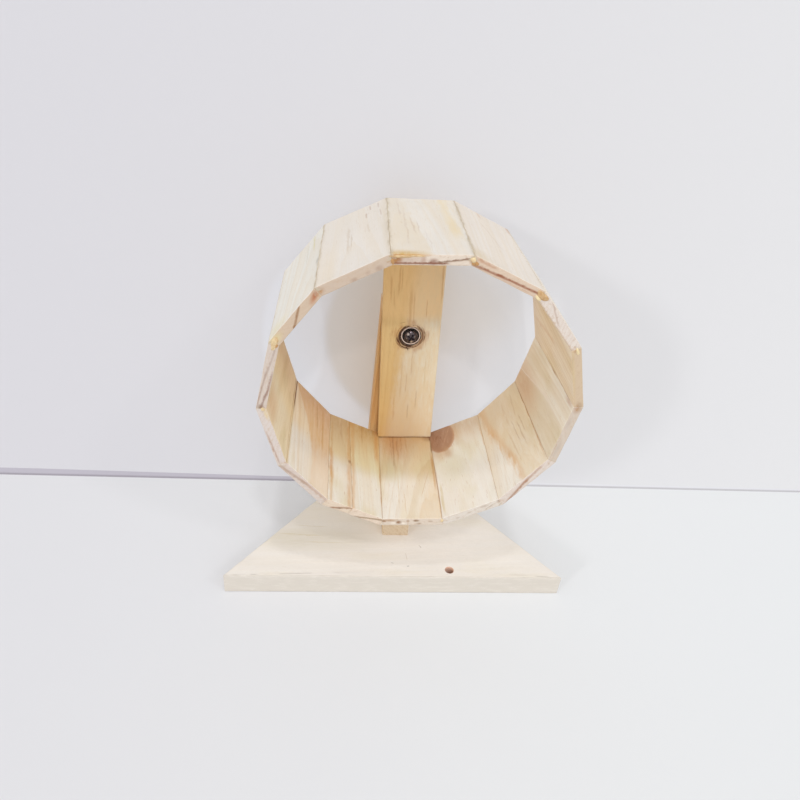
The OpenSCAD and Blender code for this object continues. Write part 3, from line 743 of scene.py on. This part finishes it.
slatLooks[15] = dict(
    pith=(0, 125), rings=2.8, ends=(197, 179, 162), outer=(225, 219, 213), bandShare=0.15,
    outerMarks=[
        stroke(11.6, 36, 11.8, 26, 0.9, brown, 0.34), stroke(8.6, 24, 8.8, 13, 0.9, brown, 0.34),
        stroke(18, 22, 18.5, 8, 0.8, brown, 0.26), stroke(17, 36, 17.4, 24, 0.8, brown, 0.26),
        stroke(-3.4, 14, -3.8, -36, 1.3, (196, 178, 158), 0.4, 3),
        stroke(-1.5, -2, -2, -32, 0.8, (186, 166, 144), 0.36, 3),
        stroke(9, 4, 10, -14, 0.8, (196, 176, 152), 0.3, 3),
        oval(-17, -46, 5, 24, (226, 208, 180), 0.28, 1.0, 1.4),
        oval(21, -10, 2.4, 44, (210, 194, 168), 0.4, 1.0, 1.2),
    ],
    frontMarks=[
        oval(-2.5, 92.4, 1.8, 0.9, (150, 118, 98), 0.45), oval(6, 93.0, 1.3, 0.9, (160, 128, 108), 0.35),
        oval(12.4, 93.0, 1.8, 1.2, (146, 114, 94), 0.45), oval(-21.5, 94, 2.0, 1.6, (176, 138, 104), 0.5),
    ],
)

joints = [*range(1, 10), 9.5, *range(10, 15), 1]
for number, look in slatLooks.items():
    left, right = joints[number - 1], joints[number]
    name = f"slat_{number:02d}"
    board = {"place": (axleX, 0, axleZ), "turn": (int(left) - 1) * drum["sideAngle"] + drum["turn"],
             "split": drum["outsideFrom"], "seam": drum["stainSeam"], "paintedLitShare": drum["paintedLitShare"],
             "seed": 13.7 * number, **look}
    points, edge = slatPoints(left, right, 40 + number, 0.05 + 0.25 * abs(math.sin(number * 2.4)))
    makePiece(f"slat{number:02d}", points, gridFaces(*points.shape[:2]), {"edgeNear": edge},
              pineMaterial(f"slatPine{number:02d}", board), "drum", [name], "pale_pine")
print("wheel: 15 slats made")

# Set glue. Seams are thin boards in the joints, a little below both faces.
glue = {"pale": (231, 214, 172), "dark": (182, 138, 88), "rough": 0.36, "gloss": 0.5}
seams = {"low": 0.06, "high": 0.05, "thick": 0.09, "frontIn": 0.45, "backIn": 0.4}

# Beads by joint, in millimetres: along the slat and inwards from the drum's corner, half length, half height,
# how tall, how dark, and by how many degrees it is turned
beads = {
    1: [(5.5, 1.15, 6.0, 0.8, 0.6, 0.6, -13), (14.0, 0.85, 5.0, 0.4, 0.35, 0.5, -13),
        (0.2, 4.2, 0.9, 1.6, 0.4, 1.2, 0)],
    2: [(0.0, 2.8, 1.6, 1.6, 0.9, 0.3, 0), (1.8, 4.6, 1.9, 1.2, 0.4, 1.1, 0)],
    3: [(0.4, 3.0, 3.8, 2.0, 0.9, 0.7, 0), (-0.6, 5.4, 2.2, 1.0, 0.5, 0.2, 0)],
    4: [(1.6, 2.8, 2.4, 1.0, 0.9, 0.15, 0)],
    8: [(0.4, 4.2, 1.1, 1.2, 0.5, 0.35, 0)],
    12: [(-0.4, 4.0, 1.4, 1.1, 0.5, 0.4, 0)],
    13: [(1.6, 3.0, 3.4, 1.7, 0.5, 0.5, 0), (-1.8, 3.8, 2.2, 1.3, 0.45, 0.45, 0),
         (-0.2, 5.0, 1.1, 0.7, 0.6, 1.0, 0)],
}


# pale to dark by the point value amberShare, clouded by noise, with a gloss that varies
def glueMaterial(name):
    made, wire = newMaterial(name)
    spot, _ = boardFrame(wire, (0, 0, 0), 0)
    share = wire.node("ShaderNodeAttribute", {"attribute_name": "amberShare"}, {}, "Fac")
    cloud = spot.noise((0.5, 0.5, 0.5), 3.0, 0.6)
    small = spot.noise((2.2, 2.2, 2.2), 2.0)
    colour = (share + cloud * 0.9).step(0.0, 1.0).mix(glue["pale"], glue["dark"])
    skin = {"Base Color": colour, "Roughness": small * 0.3 + glue["rough"], "Specular IOR Level": glue["gloss"]}
    closeSkin(wire, skin, cloud + small * 0.4, 0.4, 0.0002)
    return made


glueSkin = glueMaterial("setGlue")


def seamGrid(joint):
    radii, seed = jointRadii(joint, seams["low"], seams["high"]), int(joint * 2)
    ends = [jointSection(a, radii, a, radii, -seams["thick"] / 2) for a in jointAngles(joint)]
    yFront, yRear = drum["front"] + seams["frontIn"], drum["back"] - seams["backIn"]
    points, _, _ = sawnBoard(*ends, yFront, yRear, 300 + seed, easing=(0.05,) * 4, wide=3, thick=8, rings=60,
                             uneven=0.0, endUneven=0.1)
    clouds = waves(points[..., 1], points[..., 2], 16, 70 + seed)
    return points, 0.85 - 0.5 * outwards(points, 94, 4) + 0.3 * clouds


# A bead is a ball flattened against the slats' ends, its radius rippled by waves
def beadGrid(n, joint, along, inward, long, high, tall, amber, turn):
    rows, columns = 19, 36
    theta = np.linspace(0, np.pi, rows)[:, None]
    phi = np.linspace(0, 2 * np.pi, columns, endpoint=False)[None]
    angle = math.radians(jointAngles(joint)[0])
    corner = np.array([axleX, axleZ]) + drum["outer"] * np.array([math.cos(angle), math.sin(angle)])
    angle += math.radians(turn)
    out, side = np.array([math.cos(angle), math.sin(angle)]), np.array([math.sin(angle), -math.cos(angle)])
    r = 1 + 0.12 * waves(np.cos(phi) * 2 + 0 * theta, np.sin(phi) * 2 + theta, 3.0, 500 + n)
    a = r * np.sin(theta) * np.cos(phi) * long
    b = r * np.sin(theta) * np.sin(phi) * high
    c = np.clip(r * np.cos(theta), -0.5, 1.0) * tall
    flat = corner - out * inward + side * along + a[..., None] * side + b[..., None] * out
    y = drum["front"] + 0.3 - c * (1 + 0.15 * waves(flat[..., 0], flat[..., 1], 2.2, 540 + n))
    return np.stack([flat[..., 0], y, flat[..., 1]], -1), np.full((rows, columns), amber)


def makeGlue(name, grids, replaced):
    shades = np.concatenate([shade.ravel() for _, shade in grids])
    makePiece(name, *joinGrids([points for points, _ in grids]), {"amberShare": shades}, glueSkin, "drum",
              replaced, "glue")


makeGlue("glueSeams", [seamGrid(joint) for joint in [*range(1, 15), 9.5]], ["glue_seams"])
rows = [(joint, *row) for joint, some in beads.items() for row in some]
makeGlue("glueBeads", [beadGrid(n, *row) for n, row in enumerate(rows)], ["glue_beads"])
print("wheel: glue made")


# An outline with eased corners and evenly spaced points: straight runs and short curves in turn
def easedOutline(corners, easing, spacing):
    corners = np.array(corners, float)
    parts = []
    for i in range(len(corners)):
        here, before, after = corners[i], corners[i - 1], corners[(i + 1) % len(corners)]
        arrive = (here - before) / np.linalg.norm(here - before)
        leave = (after - here) / np.linalg.norm(after - here)
        start, end, stop = here - arrive * easing, here + leave * easing, after - leave * easing
        parts.append(cornerCurve(start, here, end, np.linspace(0, 1, 6)[:, None]))
        s = np.linspace(0, 1, max(3, int(np.linalg.norm(stop - end) / spacing)))[1:-1, None]
        parts.append(end * (1 - s) + stop * s)
    return np.concatenate(parts)


# A rim's radius at each angle: a plain one, and waves along a circle, each by its height, length and seed
def rimRadius(plain, *ripples, circle=8):
    def radius(a):
        x, y = np.cos(a) * circle, np.sin(a) * circle
        return plain + 0 * a + sum(high * waves(x, y, long, seed) for high, long, seed in ripples)
    return radius


# A board with one hole. Rings run from the hole's rim over the front face, round the outline's edge, over the
# back face and through the hole again. hole gives the rim's radius at each angle for front, wall and back.
# Gives flat places (rings, points, 2) and levels, front being level 0 and back the thickness.
def holedBoard(outline, centre, hole, thickness, edge, seed, uneven=0.06, rings=22):
    outline, centre = np.array(outline), np.array(centre, float)
    ahead = np.roll(outline, -1, 0) - np.roll(outline, 1, 0)
    outward = np.stack([ahead[:, 1], -ahead[:, 0]], -1) / np.linalg.norm(ahead, axis=-1, keepdims=True)
    outward *= np.sign(((outline - outline.mean(0)) * outward).sum(-1).mean())
    angle = np.arctan2(*(outline - centre).T[::-1])
    rim = np.stack([np.cos(angle), np.sin(angle)], -1)
    chip = edge * (1 + 0.35 * waves(outline[:, 0], outline[:, 1], 14, seed + 5))[:, None]
    t = np.concatenate([[0.0], crowded(rings, 1.35), [1.0]])[:, None, None]
    swell = uneven * np.sin(np.pi * t[..., 0]) ** 0.5
    frontRim, backRim, wallRim = (centre + rim * hole[k](angle)[:, None] for k in ("front", "back", "wall"))
    frontFace = frontRim * (1 - t) + (outline - outward * chip) * t
    backFace = backRim * t + (outline - outward * chip) * (1 - t)
    frontLevel = np.maximum(swell * waves(frontFace[..., 0], frontFace[..., 1], 17, seed), 0)
    backLevel = thickness - swell * waves(backFace[..., 0], backFace[..., 1], 17, seed + 1)
    q = np.radians([30, 60, 90])[:, None, None]
    bevelFront = outline - outward * chip * (1 - np.sin(q))
    bevelLevel = chip[:, 0] * (1 - np.cos(q[..., 0]))
    side = np.linspace(0, 1, 7)[1:-1, None]
    sideLevel = chip[:, 0] * (1 - side) + (thickness - chip[:, 0]) * side
    saw = 0.05 * (1 + waves(outline[:, 0], outline[:, 1], 9, seed + 2))[:, None]
    sideFlat = np.broadcast_to(outline - outward * saw, (len(side), len(outline), 2))
    wallShare = np.array(hole["wallAt"])[:, None]
    wallFlat = np.broadcast_to(wallRim, (len(wallShare), len(outline), 2))
    wallLevel = np.broadcast_to(wallShare * thickness, wallFlat.shape[:2])
    flat = np.concatenate([frontFace, bevelFront, sideFlat, bevelFront[::-1], backFace, wallFlat])
    level = np.concatenate([frontLevel, bevelLevel, sideLevel, thickness - bevelLevel[::-1],
                            np.minimum(backLevel, thickness), wallLevel])
    return flat, level


# Stands a holed board up, its front face at the place front: turned by some degrees about Y round a point
def standUp(flat, level, point, turn, front):
    a = math.radians(turn)
    x = point[0] + flat[..., 0] * math.cos(a) + flat[..., 1] * math.sin(a)
    z = point[1] - flat[..., 0] * math.sin(a) + flat[..., 1] * math.cos(a)
    return np.stack([x, front + level, z], -1)


# Crossbar: square to the first slat, its middle on the axle, with a ragged burnt hole that holds the bearing
crossbar = {"width": 42.5, "half": 90.95, "front": 31.9, "thick": 6.2, "turn": -2, "bearing": 7.03, "wear": 7.5}
burnt, dark, streak = (36, 24, 20), (66, 40, 28), (190, 134, 78)
crossbarLook = {
    "place": (axleX, 0, axleZ), "turn": crossbar["turn"], "axes": (0, 2, 1), "seed": 4.4, "pith": (14, 88),
    "rings": 2.5, "taper": 0.03, "wander": 3.0, "late": 0.24, "bandShare": 0.3, "oliveShare": 0.1,
    "inner": (226, 196, 142), "innerLate": (198, 150, 94), "band": (224, 186, 130),
    "innerMarks": [
        # the paler right side is partly the wood and partly painted light where the lamps reach the bar
        zone(-4, 0.12, 0.0, 1, (231, 224, 208), 0.68, 6, 8),
        # painted shade: the top of the bar is darkened above the line where the drum's shadow ends
        oval(0, 60, 70, 47, (244, 207, 151), 0.6, 0.12, 0.06),
        oval(-14, -96, 30, 60, (206, 160, 96), 0.46, 0.8), stroke(-10, 56, -10.3, 30, 0.9, streak, 0.34, 2),
        stroke(-8.4, 54, -8.6, 34, 0.7, streak, 0.3, 2), stroke(-16, 48, -15.4, 26, 1.0, streak, 0.34, 2),
        stroke(-1.4, 40, -1.0, 4, 1.6, streak, 0.34, 3), stroke(0.8, 36, 1.4, 8, 0.8, streak, 0.3, 2),
        stroke(19.4, 58, 20.2, 26, 1.0, streak, 0.42, 2), stroke(10, 30, 10, 14, 0.6, streak, 0.34),
        stroke(-13.5, 38, -13, 22, 0.8, streak, 0.3),
        stroke(2, -12, 2.4, -34, 0.9, (196, 156, 104), 0.36, 3),
        stroke(7, -46, 7, -64, 0.7, (166, 126, 84), 0.36),
        stroke(-1, -30, -1.6, -50, 0.7, (190, 146, 92), 0.36),
        stroke(-10, -50, -10, -76, 1.0, streak, 0.28, 3),
        stroke(1, -58, 1.2, -74, 0.7, (166, 126, 84), 0.3),
        stroke(12, -16, 12.5, -46, 1.0, (212, 186, 138), 0.4, 3),
        stroke(-5, -18, -5.5, -56, 1.0, (198, 156, 100), 0.3, 3),
        # painted highlight: a pale line down the bar's right edge
        stroke(20.7, 66, 20.7, 0, 0.4, (246, 224, 194), 0.7, 0.4, fade=0.08),
    ],
    "marks": [
        oval(0, 0, 12.0, 12.0, (188, 138, 88), 0.5, 0.25, -1.4), arc(8.2, 1.4, 222, 62, 1.8, dark, 1.15),
        arc(9.9, 1.0, 226, 42, 3.4, (88, 56, 40), 1.1), arc(8.7, 1.1, 8, 44, 2.2, (104, 68, 46), 0.95),
        arc(11.2, 0.6, 222, 26, 2.6, (120, 80, 54), 0.9), arc(10.2, 0.7, 14, 34, 3.0, (124, 88, 62), 0.8),
        arc(8.3, 1.1, 140, 36, 2.2, (80, 50, 34), 1.1), arc(9.2, 0.7, 48, 24, 2.6, (120, 84, 60), 0.75),
        arc(9.3, 0.8, 300, 36, 2.2, (130, 92, 66), 0.9), arc(8.2, 0.7, 330, 60, 1.2, (140, 100, 72), 0.7),
        arc(10.5, 0.5, 205, 34, 2.4, (150, 106, 66), 0.6),
        arc(10.2, 0.4, 150, 26, 2.4, (160, 112, 66), 0.6), oval(0, 0, 7.55, 7.55, burnt, 1.0, 0.05, 0.3),
        stroke(-8.6, 10.2, -4.2, 11.6, 0.35, (150, 104, 58), 0.6),
        stroke(-2.6, -8.6, -1.2, -12.0, 0.6, dark, 0.8, 0.6),
    ],
}


def makeCrossbar(c):
    w, h = c["width"] / 2, c["half"]
    outline = easedOutline([(-w, -h), (w, -h), (w, h), (-w, h)], 0.5, 1.5)
    hole = {"front": rimRadius(c["wear"], (0.28, 3.0, 91), (0.22, 7.0, 92)), "wall": rimRadius(c["bearing"]),
            "back": rimRadius(c["bearing"] + 0.25, (0.15, 4.0, 93)), "wallAt": (0.97, 0.6, 0.3, 0.17, 0.12)}
    flat, level = holedBoard(outline, (0, 0), hole, c["thick"], 0.4, 61, uneven=0.05, rings=26)
    points = standUp(flat, level, drum["axle"], c["turn"], c["front"])
    makePiece("crossbar", points, gridFaces(*points.shape[:2], closeRows=True), {},
              pineMaterial("crossbarPine", crossbarLook), "drum", ["crossbar"], "warm_pine")


makeCrossbar(crossbar)

# Post: stands behind the drum, leans a little to the right, with the hole for the axle bolt
post = {"width": 44, "front": 43, "thick": 17, "foot": 17.0, "above": 20, "lean": 1.3, "hole": 2.75}
postLook = {
    "turn": post["lean"], "axes": (0, 2, 1), "seed": 9.1, "pith": (-6, 20), "rings": 3.2, "taper": 0.03,
    "late": 0.5, "inner": (238, 194, 134), "innerLate": (190, 136, 84), "band": (208, 158, 104),
}


def makePost(c):
    lean = math.radians(c["lean"])
    axleUp = (axleZ - c["foot"]) / math.cos(lean)
    w, top = c["width"] / 2, axleUp + c["above"]
    drop = w * math.tan(lean)
    outline = easedOutline([(-w, drop), (w, -drop), (w, top), (-w, top)], 1.0, 2.0)
    outline[:, 1] = np.maximum(outline[:, 1], -outline[:, 0] * math.tan(lean))
    rim = rimRadius(c["hole"] + 0.1)
    hole = {"front": rim, "back": rim, "wall": rimRadius(c["hole"]), "wallAt": (0.97, 0.5, 0.03)}
    flat, level = holedBoard(outline, (0, axleUp), hole, c["thick"], 0.6, 81, rings=24)
    points = standUp(flat, level, (0, c["foot"]), c["lean"], c["front"])
    makePiece("post", points, gridFaces(*points.shape[:2], closeRows=True), {},
              pineMaterial("postPine", postLook), "stand", ["post"], "warm_pine")


makePost(post)

# Base board: wide in front, its grain running left to right, with the fixing hole and the screw holes below.
# A screw hole is a cone and a bore, lathed round each screw: plug lists its radii and heights.
base = {
    "front": 250, "back": 63, "deep": 120, "thick": 17, "hole": (40, -53), "holeRadius": 3.0,
    "screws": [(-12, 51.5), (12, 51.5), (1, -4.5), (1, 29.5)],
    "plug": [(0, -1), (4.3, -1), (4.3, 0.6), (2.05, 2.9), (2.05, 9), (0, 9)], "plugSides": 48,
}
baseLook = {
    "axes": (1, 0, 2), "seed": 2.2, "pith": (10, -70), "rings": 3.0, "taper": 0.03, "wander": 4.0, "late": 0.05,
    "bandShare": 0.07, "inner": (231, 225, 218), "innerLate": (216, 196, 168), "band": (228, 212, 186),
    "oliveShare": 0.12, "ends": (226, 214, 198), "canals": 0.1, "fibre": 0.07,
    "marks": [
        # painted shade: the front face and the edge above it are darker than the top
        zone(-59.3, 0, 0, -1, (208, 201, 191), 0.98, 0.25, 0.1),
        # painted shadow of the drum: this oval and the band below it darken and yellow the board under the drum
        oval(14, -30, 30, 82, (216, 206, 170), 0.1, 0.4),
        oval(-24, -62, 12, 48, (214, 205, 186), 0.45, 0.45),
        # painted light: a paler strip across the front and a pale patch to the right, where light falls past
        # the drum's shadow
        oval(-38, 0, 13, 96, (248, 242, 236), 0.24, 0.35),
        oval(-20, 35, 18, 50, (250, 244, 238), 0.36, 0.6),
        oval(-53, 40, 3.4, 3.4, (206, 158, 130), 0.8, 0.06, 0.05),
        stroke(-46.2, -3.6, -47.2, -1.6, 0.45, (120, 112, 108), 0.7),
        stroke(-49.6, 8.2, -49.2, 10.2, 0.45, (120, 112, 108), 0.7),
        stroke(-28, 19, -31, 21, 0.4, (150, 130, 112), 0.6),
        stroke(-36, 8, -44, 9, 0.4, (196, 178, 158), 0.5),
        stroke(-17, -92, -20, -52, 0.9, (208, 194, 160), 0.45, 4),
        stroke(-26, -70, -27, -38, 0.8, (212, 198, 166), 0.4, 4),
        stroke(-8, -78, -10, -50, 0.8, (206, 192, 158), 0.4, 4),
    ],
}


def screwPlugs(c):
    turn = np.linspace(0, 2 * np.pi, c["plugSides"], endpoint=False)
    r, z = np.array(c["plug"]).T[..., None]
    grids = [np.stack([x + r * np.cos(turn), y + r * np.sin(turn), z + 0 * turn], -1) for x, y in c["screws"]]
    return addObject("plugs", newMesh("plugs", *joinGrids(grids)))


def makeBase(c):
    f, b, d, r = c["front"] / 2, c["back"] / 2, c["deep"] / 2, c["holeRadius"]
    outline = easedOutline([(-f, -d), (f, -d), (b, d), (-b, d)], 0.9, 2.0)
    hole = {"front": rimRadius(r + 0.35, (0.12, 3.0, 33), circle=3), "back": rimRadius(r + 0.15),
            "wall": rimRadius(r), "wallAt": (0.98, 0.7, 0.4, 0.15, 0.03)}
    flat, level = holedBoard(outline, c["hole"], hole, c["thick"], 0.6, 21, uneven=0.05, rings=40)
    points = np.stack([flat[..., 0], flat[..., 1], c["thick"] - level], -1)
    piece = makePiece("baseBoard", points, gridFaces(*points.shape[:2], closeRows=True), {},
                      pineMaterial("basePine", baseLook), "stand", ["base_board"], "base_pine")
    plugs = screwPlugs(c)
    cut = piece.modifiers.new("screwHoles", "BOOLEAN")
    cut.operation, cut.object, cut.solver = "DIFFERENCE", plugs, "EXACT"
    graph = bpy.context.evaluated_depsgraph_get()
    holed = bpy.data.meshes.new_from_object(piece.evaluated_get(graph))
    piece.modifiers.clear()
    piece.data = holed
    bpy.data.objects.remove(plugs)


makeBase(base)

# Foot brace: a sawn batten on the middle of the base
brace = {"middle": 1, "width": 20, "front": -18, "back": 43, "foot": 17, "high": 20}
braceLook = {
    "seed": 6.2, "pith": (-20, 0), "rings": 2.8, "late": 0.4, "inner": (226, 200, 164),
    "innerLate": (190, 146, 100), "ends": (208, 189, 163), "endLate": (182, 152, 118),
}


def makeBrace(c):
    left, right = c["middle"] - c["width"] / 2, c["middle"] + c["width"] / 2
    low, top = c["foot"], c["foot"] + c["high"]
    corners = [(left, top), (right, top), (right, low), (left, low)]
    points, _, _ = sawnBoard(corners, corners, c["front"], c["back"] - 0.02, 77, easing=(0.6, 0.6, 0.3, 0.3),
                             wide=16, thick=16, rings=40, endUneven=0.2)
    points[..., 2] = np.clip(points[..., 2], low, top)
    points[..., 0] = np.clip(points[..., 0], left, right)
    makePiece("footBrace", points, gridFaces(*points.shape[:2]), {}, pineMaterial("bracePine", braceLook),
              "stand", ["foot_brace"], "brace_pine")


makeBrace(brace)
print("wheel: crossbar and stand made")

# Metal, rubber and nylon. darkRadii is the two radii between which it darkens; stainAndGlints lists painted
# highlights on the bolt head by their middle, size and strength.
metals = {
    "brightSteel": {"colour": (242, 218, 202), "tarnish": (190, 160, 142), "rough": 0.36, "darkRadii": (6.1, 6.35)},
    "ballSteel": {"colour": (226, 226, 228), "tarnish": (206, 206, 206), "rough": 0.15, "bump": 0.1},
    "blackOxide": {"colour": (58, 50, 54), "tarnish": (96, 84, 88), "metallic": 0.6, "rough": 0.2, "bump": 0.3,
                   "stainAndGlints": [(-2.3, 2.6, 1.4, 0.85), (0.7, -3.3, 1.5, 0.9), (-3.2, -0.6, 0.9, 0.35),
                              (2.6, 1.0, 1.0, 0.3)]},
    "zincPlate": {"colour": (196, 198, 202), "tarnish": (166, 166, 160), "rough": 0.36, "bump": 0.3},
    "sealRubber": {"colour": (34, 31, 30), "tarnish": (52, 46, 42), "metallic": 0, "rough": 0.6, "bump": 0.4},
    "ringNylon": {"colour": (224, 224, 218), "tarnish": (206, 204, 194), "metallic": 0, "rough": 0.45,
                  "bump": 0.15},
}
metalNodes = {
    "brightSteel": ["bearing_outer_race", "bearing_inner_race"], "ballSteel": ["bearing_balls"],
    "blackOxide": ["axle_bolt"], "sealRubber": ["bearing_seals"], "ringNylon": ["lock_nut_ring"],
    "zincPlate": ["bearing_cage", "bearing_shims", "spacer_nut", "spacer_washer", "post_washer", "lock_nut",
                  "post_screws", "brace_screws"],
}


# fine rings round the axle as a lathe or grinder leaves them, scratches in roughness, tarnish in colour, and
# painted highlights
def metalMaterial(name, look):
    made, wire = newMaterial(name)
    spot, _ = boardFrame(wire, (axleX, 0, axleZ), 0)
    x, y, z = spot.split()
    radius = (x * x + z * z).root()
    turned = (radius + y * 0.7).noiseAlong(9.0, 3.0)
    cloud = spot.noise((0.6, 0.6, 0.6), 3.0, 0.6)
    scratch = spot.noise((3.0, 9.0, 3.0), 2.0, 0.7)
    colour = cloud.step(-0.25, 0.3).mix(look["colour"], look["tarnish"])
    # the race turns dark inside the two radii
    if "darkRadii" in look:
        colour = (radius + cloud * 0.5).step(look["darkRadii"][1], look["darkRadii"][0]).mix(colour, (34, 26, 22))
    # painted highlights: pale spots on the bolt head where the lamps' glints would be
    for a, b, size, glint in look.get("stainAndGlints", ()):
        near = ((x - a) * (x - a) + (z - b) * (z - b)).root() + cloud * 0.8
        colour = (near.step(size, size * 0.2) * glint).mix(colour, (214, 200, 194))
    skin = {"Base Color": colour, "Metallic": look.get("metallic", 1.0),
            "Roughness": scratch * 0.2 + cloud * 0.15 + look["rough"]}
    closeSkin(wire, skin, turned * 0.6 + scratch * 0.5, look.get("bump", 0.25), 0.00005)
    return made


for name, look in metals.items():
    finish = metalMaterial(name, look)
    for node in metalNodes[name]:
        if nodes[node].data.materials:
            nodes[node].data.materials[0] = finish
        else:
            nodes[node].data.materials.append(finish)
print("wheel: metal, rubber and nylon finished")


# Floor and wall, colours from left to right or from below upwards between the two places of a span, in metres.
# The wall is darker to the left, a painted gradient of light. The foot of the wall is a darker strip, a painted
# shade for the gap between floor and wall. A tint is an oval of painted light and shade on the wall: warm light
# that the wood throws back, the post's shadow and lighter patches. It gives its middle and radii in
# millimetres, its softness, the places it fades between, what it multiplies by.
stage = {
    "far": 4000, "floor": ((217, 217, 222), (226, 228, 231)), "floorSpan": (-0.4, 0.2), "floorAt": -0.05,
    "wallAt": 68.0, "wall": ((215, 214, 219), (225, 225, 227)), "wallSpan": (-0.35, 0.45),
    "wallTints": [
        # painted light and shade: warm light in the drum's shadow, warm light beside the crossbar, a lighter
        # patch to the left, the post's shadow, a lighter patch to the right
        (35, 150, 93, 93, 0.045, (0.045, 0.0), (0.965, 0.925, 0.86, 1)),
        (26, 172, 52, 34, 0.5, (-0.02, 0.02), (1.0, 0.975, 0.93, 1)),
        (-83, 140, 24, 60, 0.12, (1.0, 0.9), (1.045, 1.06, 1.075, 1)),
        (-18, 135, 20, 80, 1.0, (1.0, 0.9), (0.95, 0.915, 0.875, 1)),
        (60, 140, 28, 75, 0.7, (1.0, 0.9), (1.08, 1.085, 1.09, 1)),
    ],
    "gapAt": 64.0, "gap": ((164, 159, 168), (190, 186, 196)), "gapSpan": (0.0012, 0.003),
    "gapTints": [(2000, 0, 2000, 4000, 0.01, (0.0, 0.12), (1.46, 1.53, 1.42, 1))],
    "gapOutline": [(-4000, 0), (4000, 0), (4000, 4.0), (250, 4.4), (-95, 5.2), (-300, 7.6), (-4000, 9.0)],
    "lit": 0.52, "glow": 0.467,
}


def stagePlane(name, corners, material):
    mesh = bpy.data.meshes.new(name)
    mesh.from_pydata([Vector(c) * mm for c in corners], [], [tuple(range(len(corners)))])
    mesh.materials.append(material)
    made = addObject(name, mesh)


# the wall shows only from in front, and lets all other light through
def wallMaterial(name, colours, axis, between, tints):
    made, wire = newMaterial(name)
    spot = wire.node("ShaderNodeTexCoord", {}, {}, "Object").split()
    colour = spot[axis].step(*between).mix(*colours)
    for a, b, wide, high, soft, fade, tint in tints:
        x, z = spot[0] * 1000.0 - a, spot[2] * 1000.0 - b
        far = (x * x * (1 / wide ** 2) + z * z * (1 / high ** 2)).root()
        colour = (far.step(1 + soft, 1 - soft) * spot[0].step(*fade)).mix(colour, tint, "MULTIPLY")
    # painted light: besides the light from its lamps the wall glows, which lightens the shadows cast on it
    lit = wire.node("ShaderNodeBsdfDiffuse", {}, {"Color": wire.blend(stage["lit"], (0, 0, 0, 1), colour)})
    glow = wire.node("ShaderNodeEmission", {}, {"Color": colour, "Strength": stage["glow"]})
    behind = wire.node("ShaderNodeNewGeometry", {}, {}, "Backfacing")
    rays = [wire.node("ShaderNodeLightPath", {}, {}, ray) for ray in ("Is Camera Ray", "Is Glossy Ray")]
    seen = wire.math("MAXIMUM", *rays)
    both = wire.node("ShaderNodeAddShader", {}, {0: lit, 1: glow})
    clear = wire.node("ShaderNodeBsdfTransparent")
    closeMaterial(wire, wire.node("ShaderNodeMixShader", {}, {0: seen * (1.0 - behind), 1: clear, 2: both}))
    return made


def floorMaterial():
    made, wire = newMaterial("floorPaper")
    spot = wire.node("ShaderNodeTexCoord", {}, {}, "Object")
    uneven = spot.noise((6.0, 6.0, 6.0), 2.0) * 0.1
    colour = (spot.split()[0] + uneven).step(*stage["floorSpan"]).mix(*stage["floor"])
    closeMaterial(wire, wire.node("ShaderNodeBsdfDiffuse", {}, {"Color": colour}))
    return made


def makeStage(s):
    far, low, back = s["far"], s["floorAt"], s["wallAt"]
    ground = [(-far, -far, low), (far, -far, low), (far, far, low), (-far, far, low)]
    wallPaint = wallMaterial("wallPaint", s["wall"], 0, s["wallSpan"], s["wallTints"])
    # painted shade: the strip at the wall's foot is painted dark for the shadow in the gap between floor and
    # wall
    wallFootShade = wallMaterial("wallFootShade", s["gap"], 2, s["gapSpan"], s["gapTints"])
    stagePlane("floor", ground, floorMaterial())
    stagePlane("wall", [(-far, back, 0), (far, back, 0), (far, back, far), (-far, back, far)], wallPaint)
    stagePlane("wallFoot", [(x, s["gapAt"], z) for x, z in s["gapOutline"]], wallFootShade)


makeStage(stage)

# Lamps: degrees to the right of straight in front, degrees above the floor, level, spread in degrees
lamps = {
    "overhead": (0, 77, 0.10, 4), "frontHigh": (11, 57, 0.09, 4), "frontLow": (1, 42, 0.16, 3),
    "window": (-48, 19, 0.19, 7), "rightFill": (52, 40, 0.06, 6), "frontSoft": (16, 30, 0.12, 40),
}
for name, (turn, height, level, spread) in lamps.items():
    light = bpy.data.lights.new(name, "SUN")
    light.energy, light.angle = level * math.pi, math.radians(spread)
    t, h = math.radians(turn), math.radians(height)
    towards = Vector((math.sin(t) * math.cos(h), -math.cos(t) * math.cos(h), math.sin(h)))
    addObject(name, light).matrix_world = towards.to_track_quat("Z", "Y").to_matrix().to_4x4()

# The room: what lights the wheel, and what the camera sees beyond the wall
world = bpy.data.worlds.new("room")
world.use_nodes = True
world.node_tree.nodes.clear()
bpy.context.scene.world = world
room = Wire(world.node_tree)
seen = room.node("ShaderNodeLightPath", {}, {}, "Is Camera Ray")
glow = room.node("ShaderNodeBackground", {}, {"Color": tone(255, 254, 252), "Strength": 0.655})
show = room.node("ShaderNodeBackground", {}, {"Color": tone(232, 232, 235), "Strength": 1.0})
closing = room.node("ShaderNodeMixShader", {}, {0: seen, 1: glow, 2: show})
room.node("ShaderNodeOutputWorld", {}, {"Surface": closing})
print("wheel: stage and lamps set")
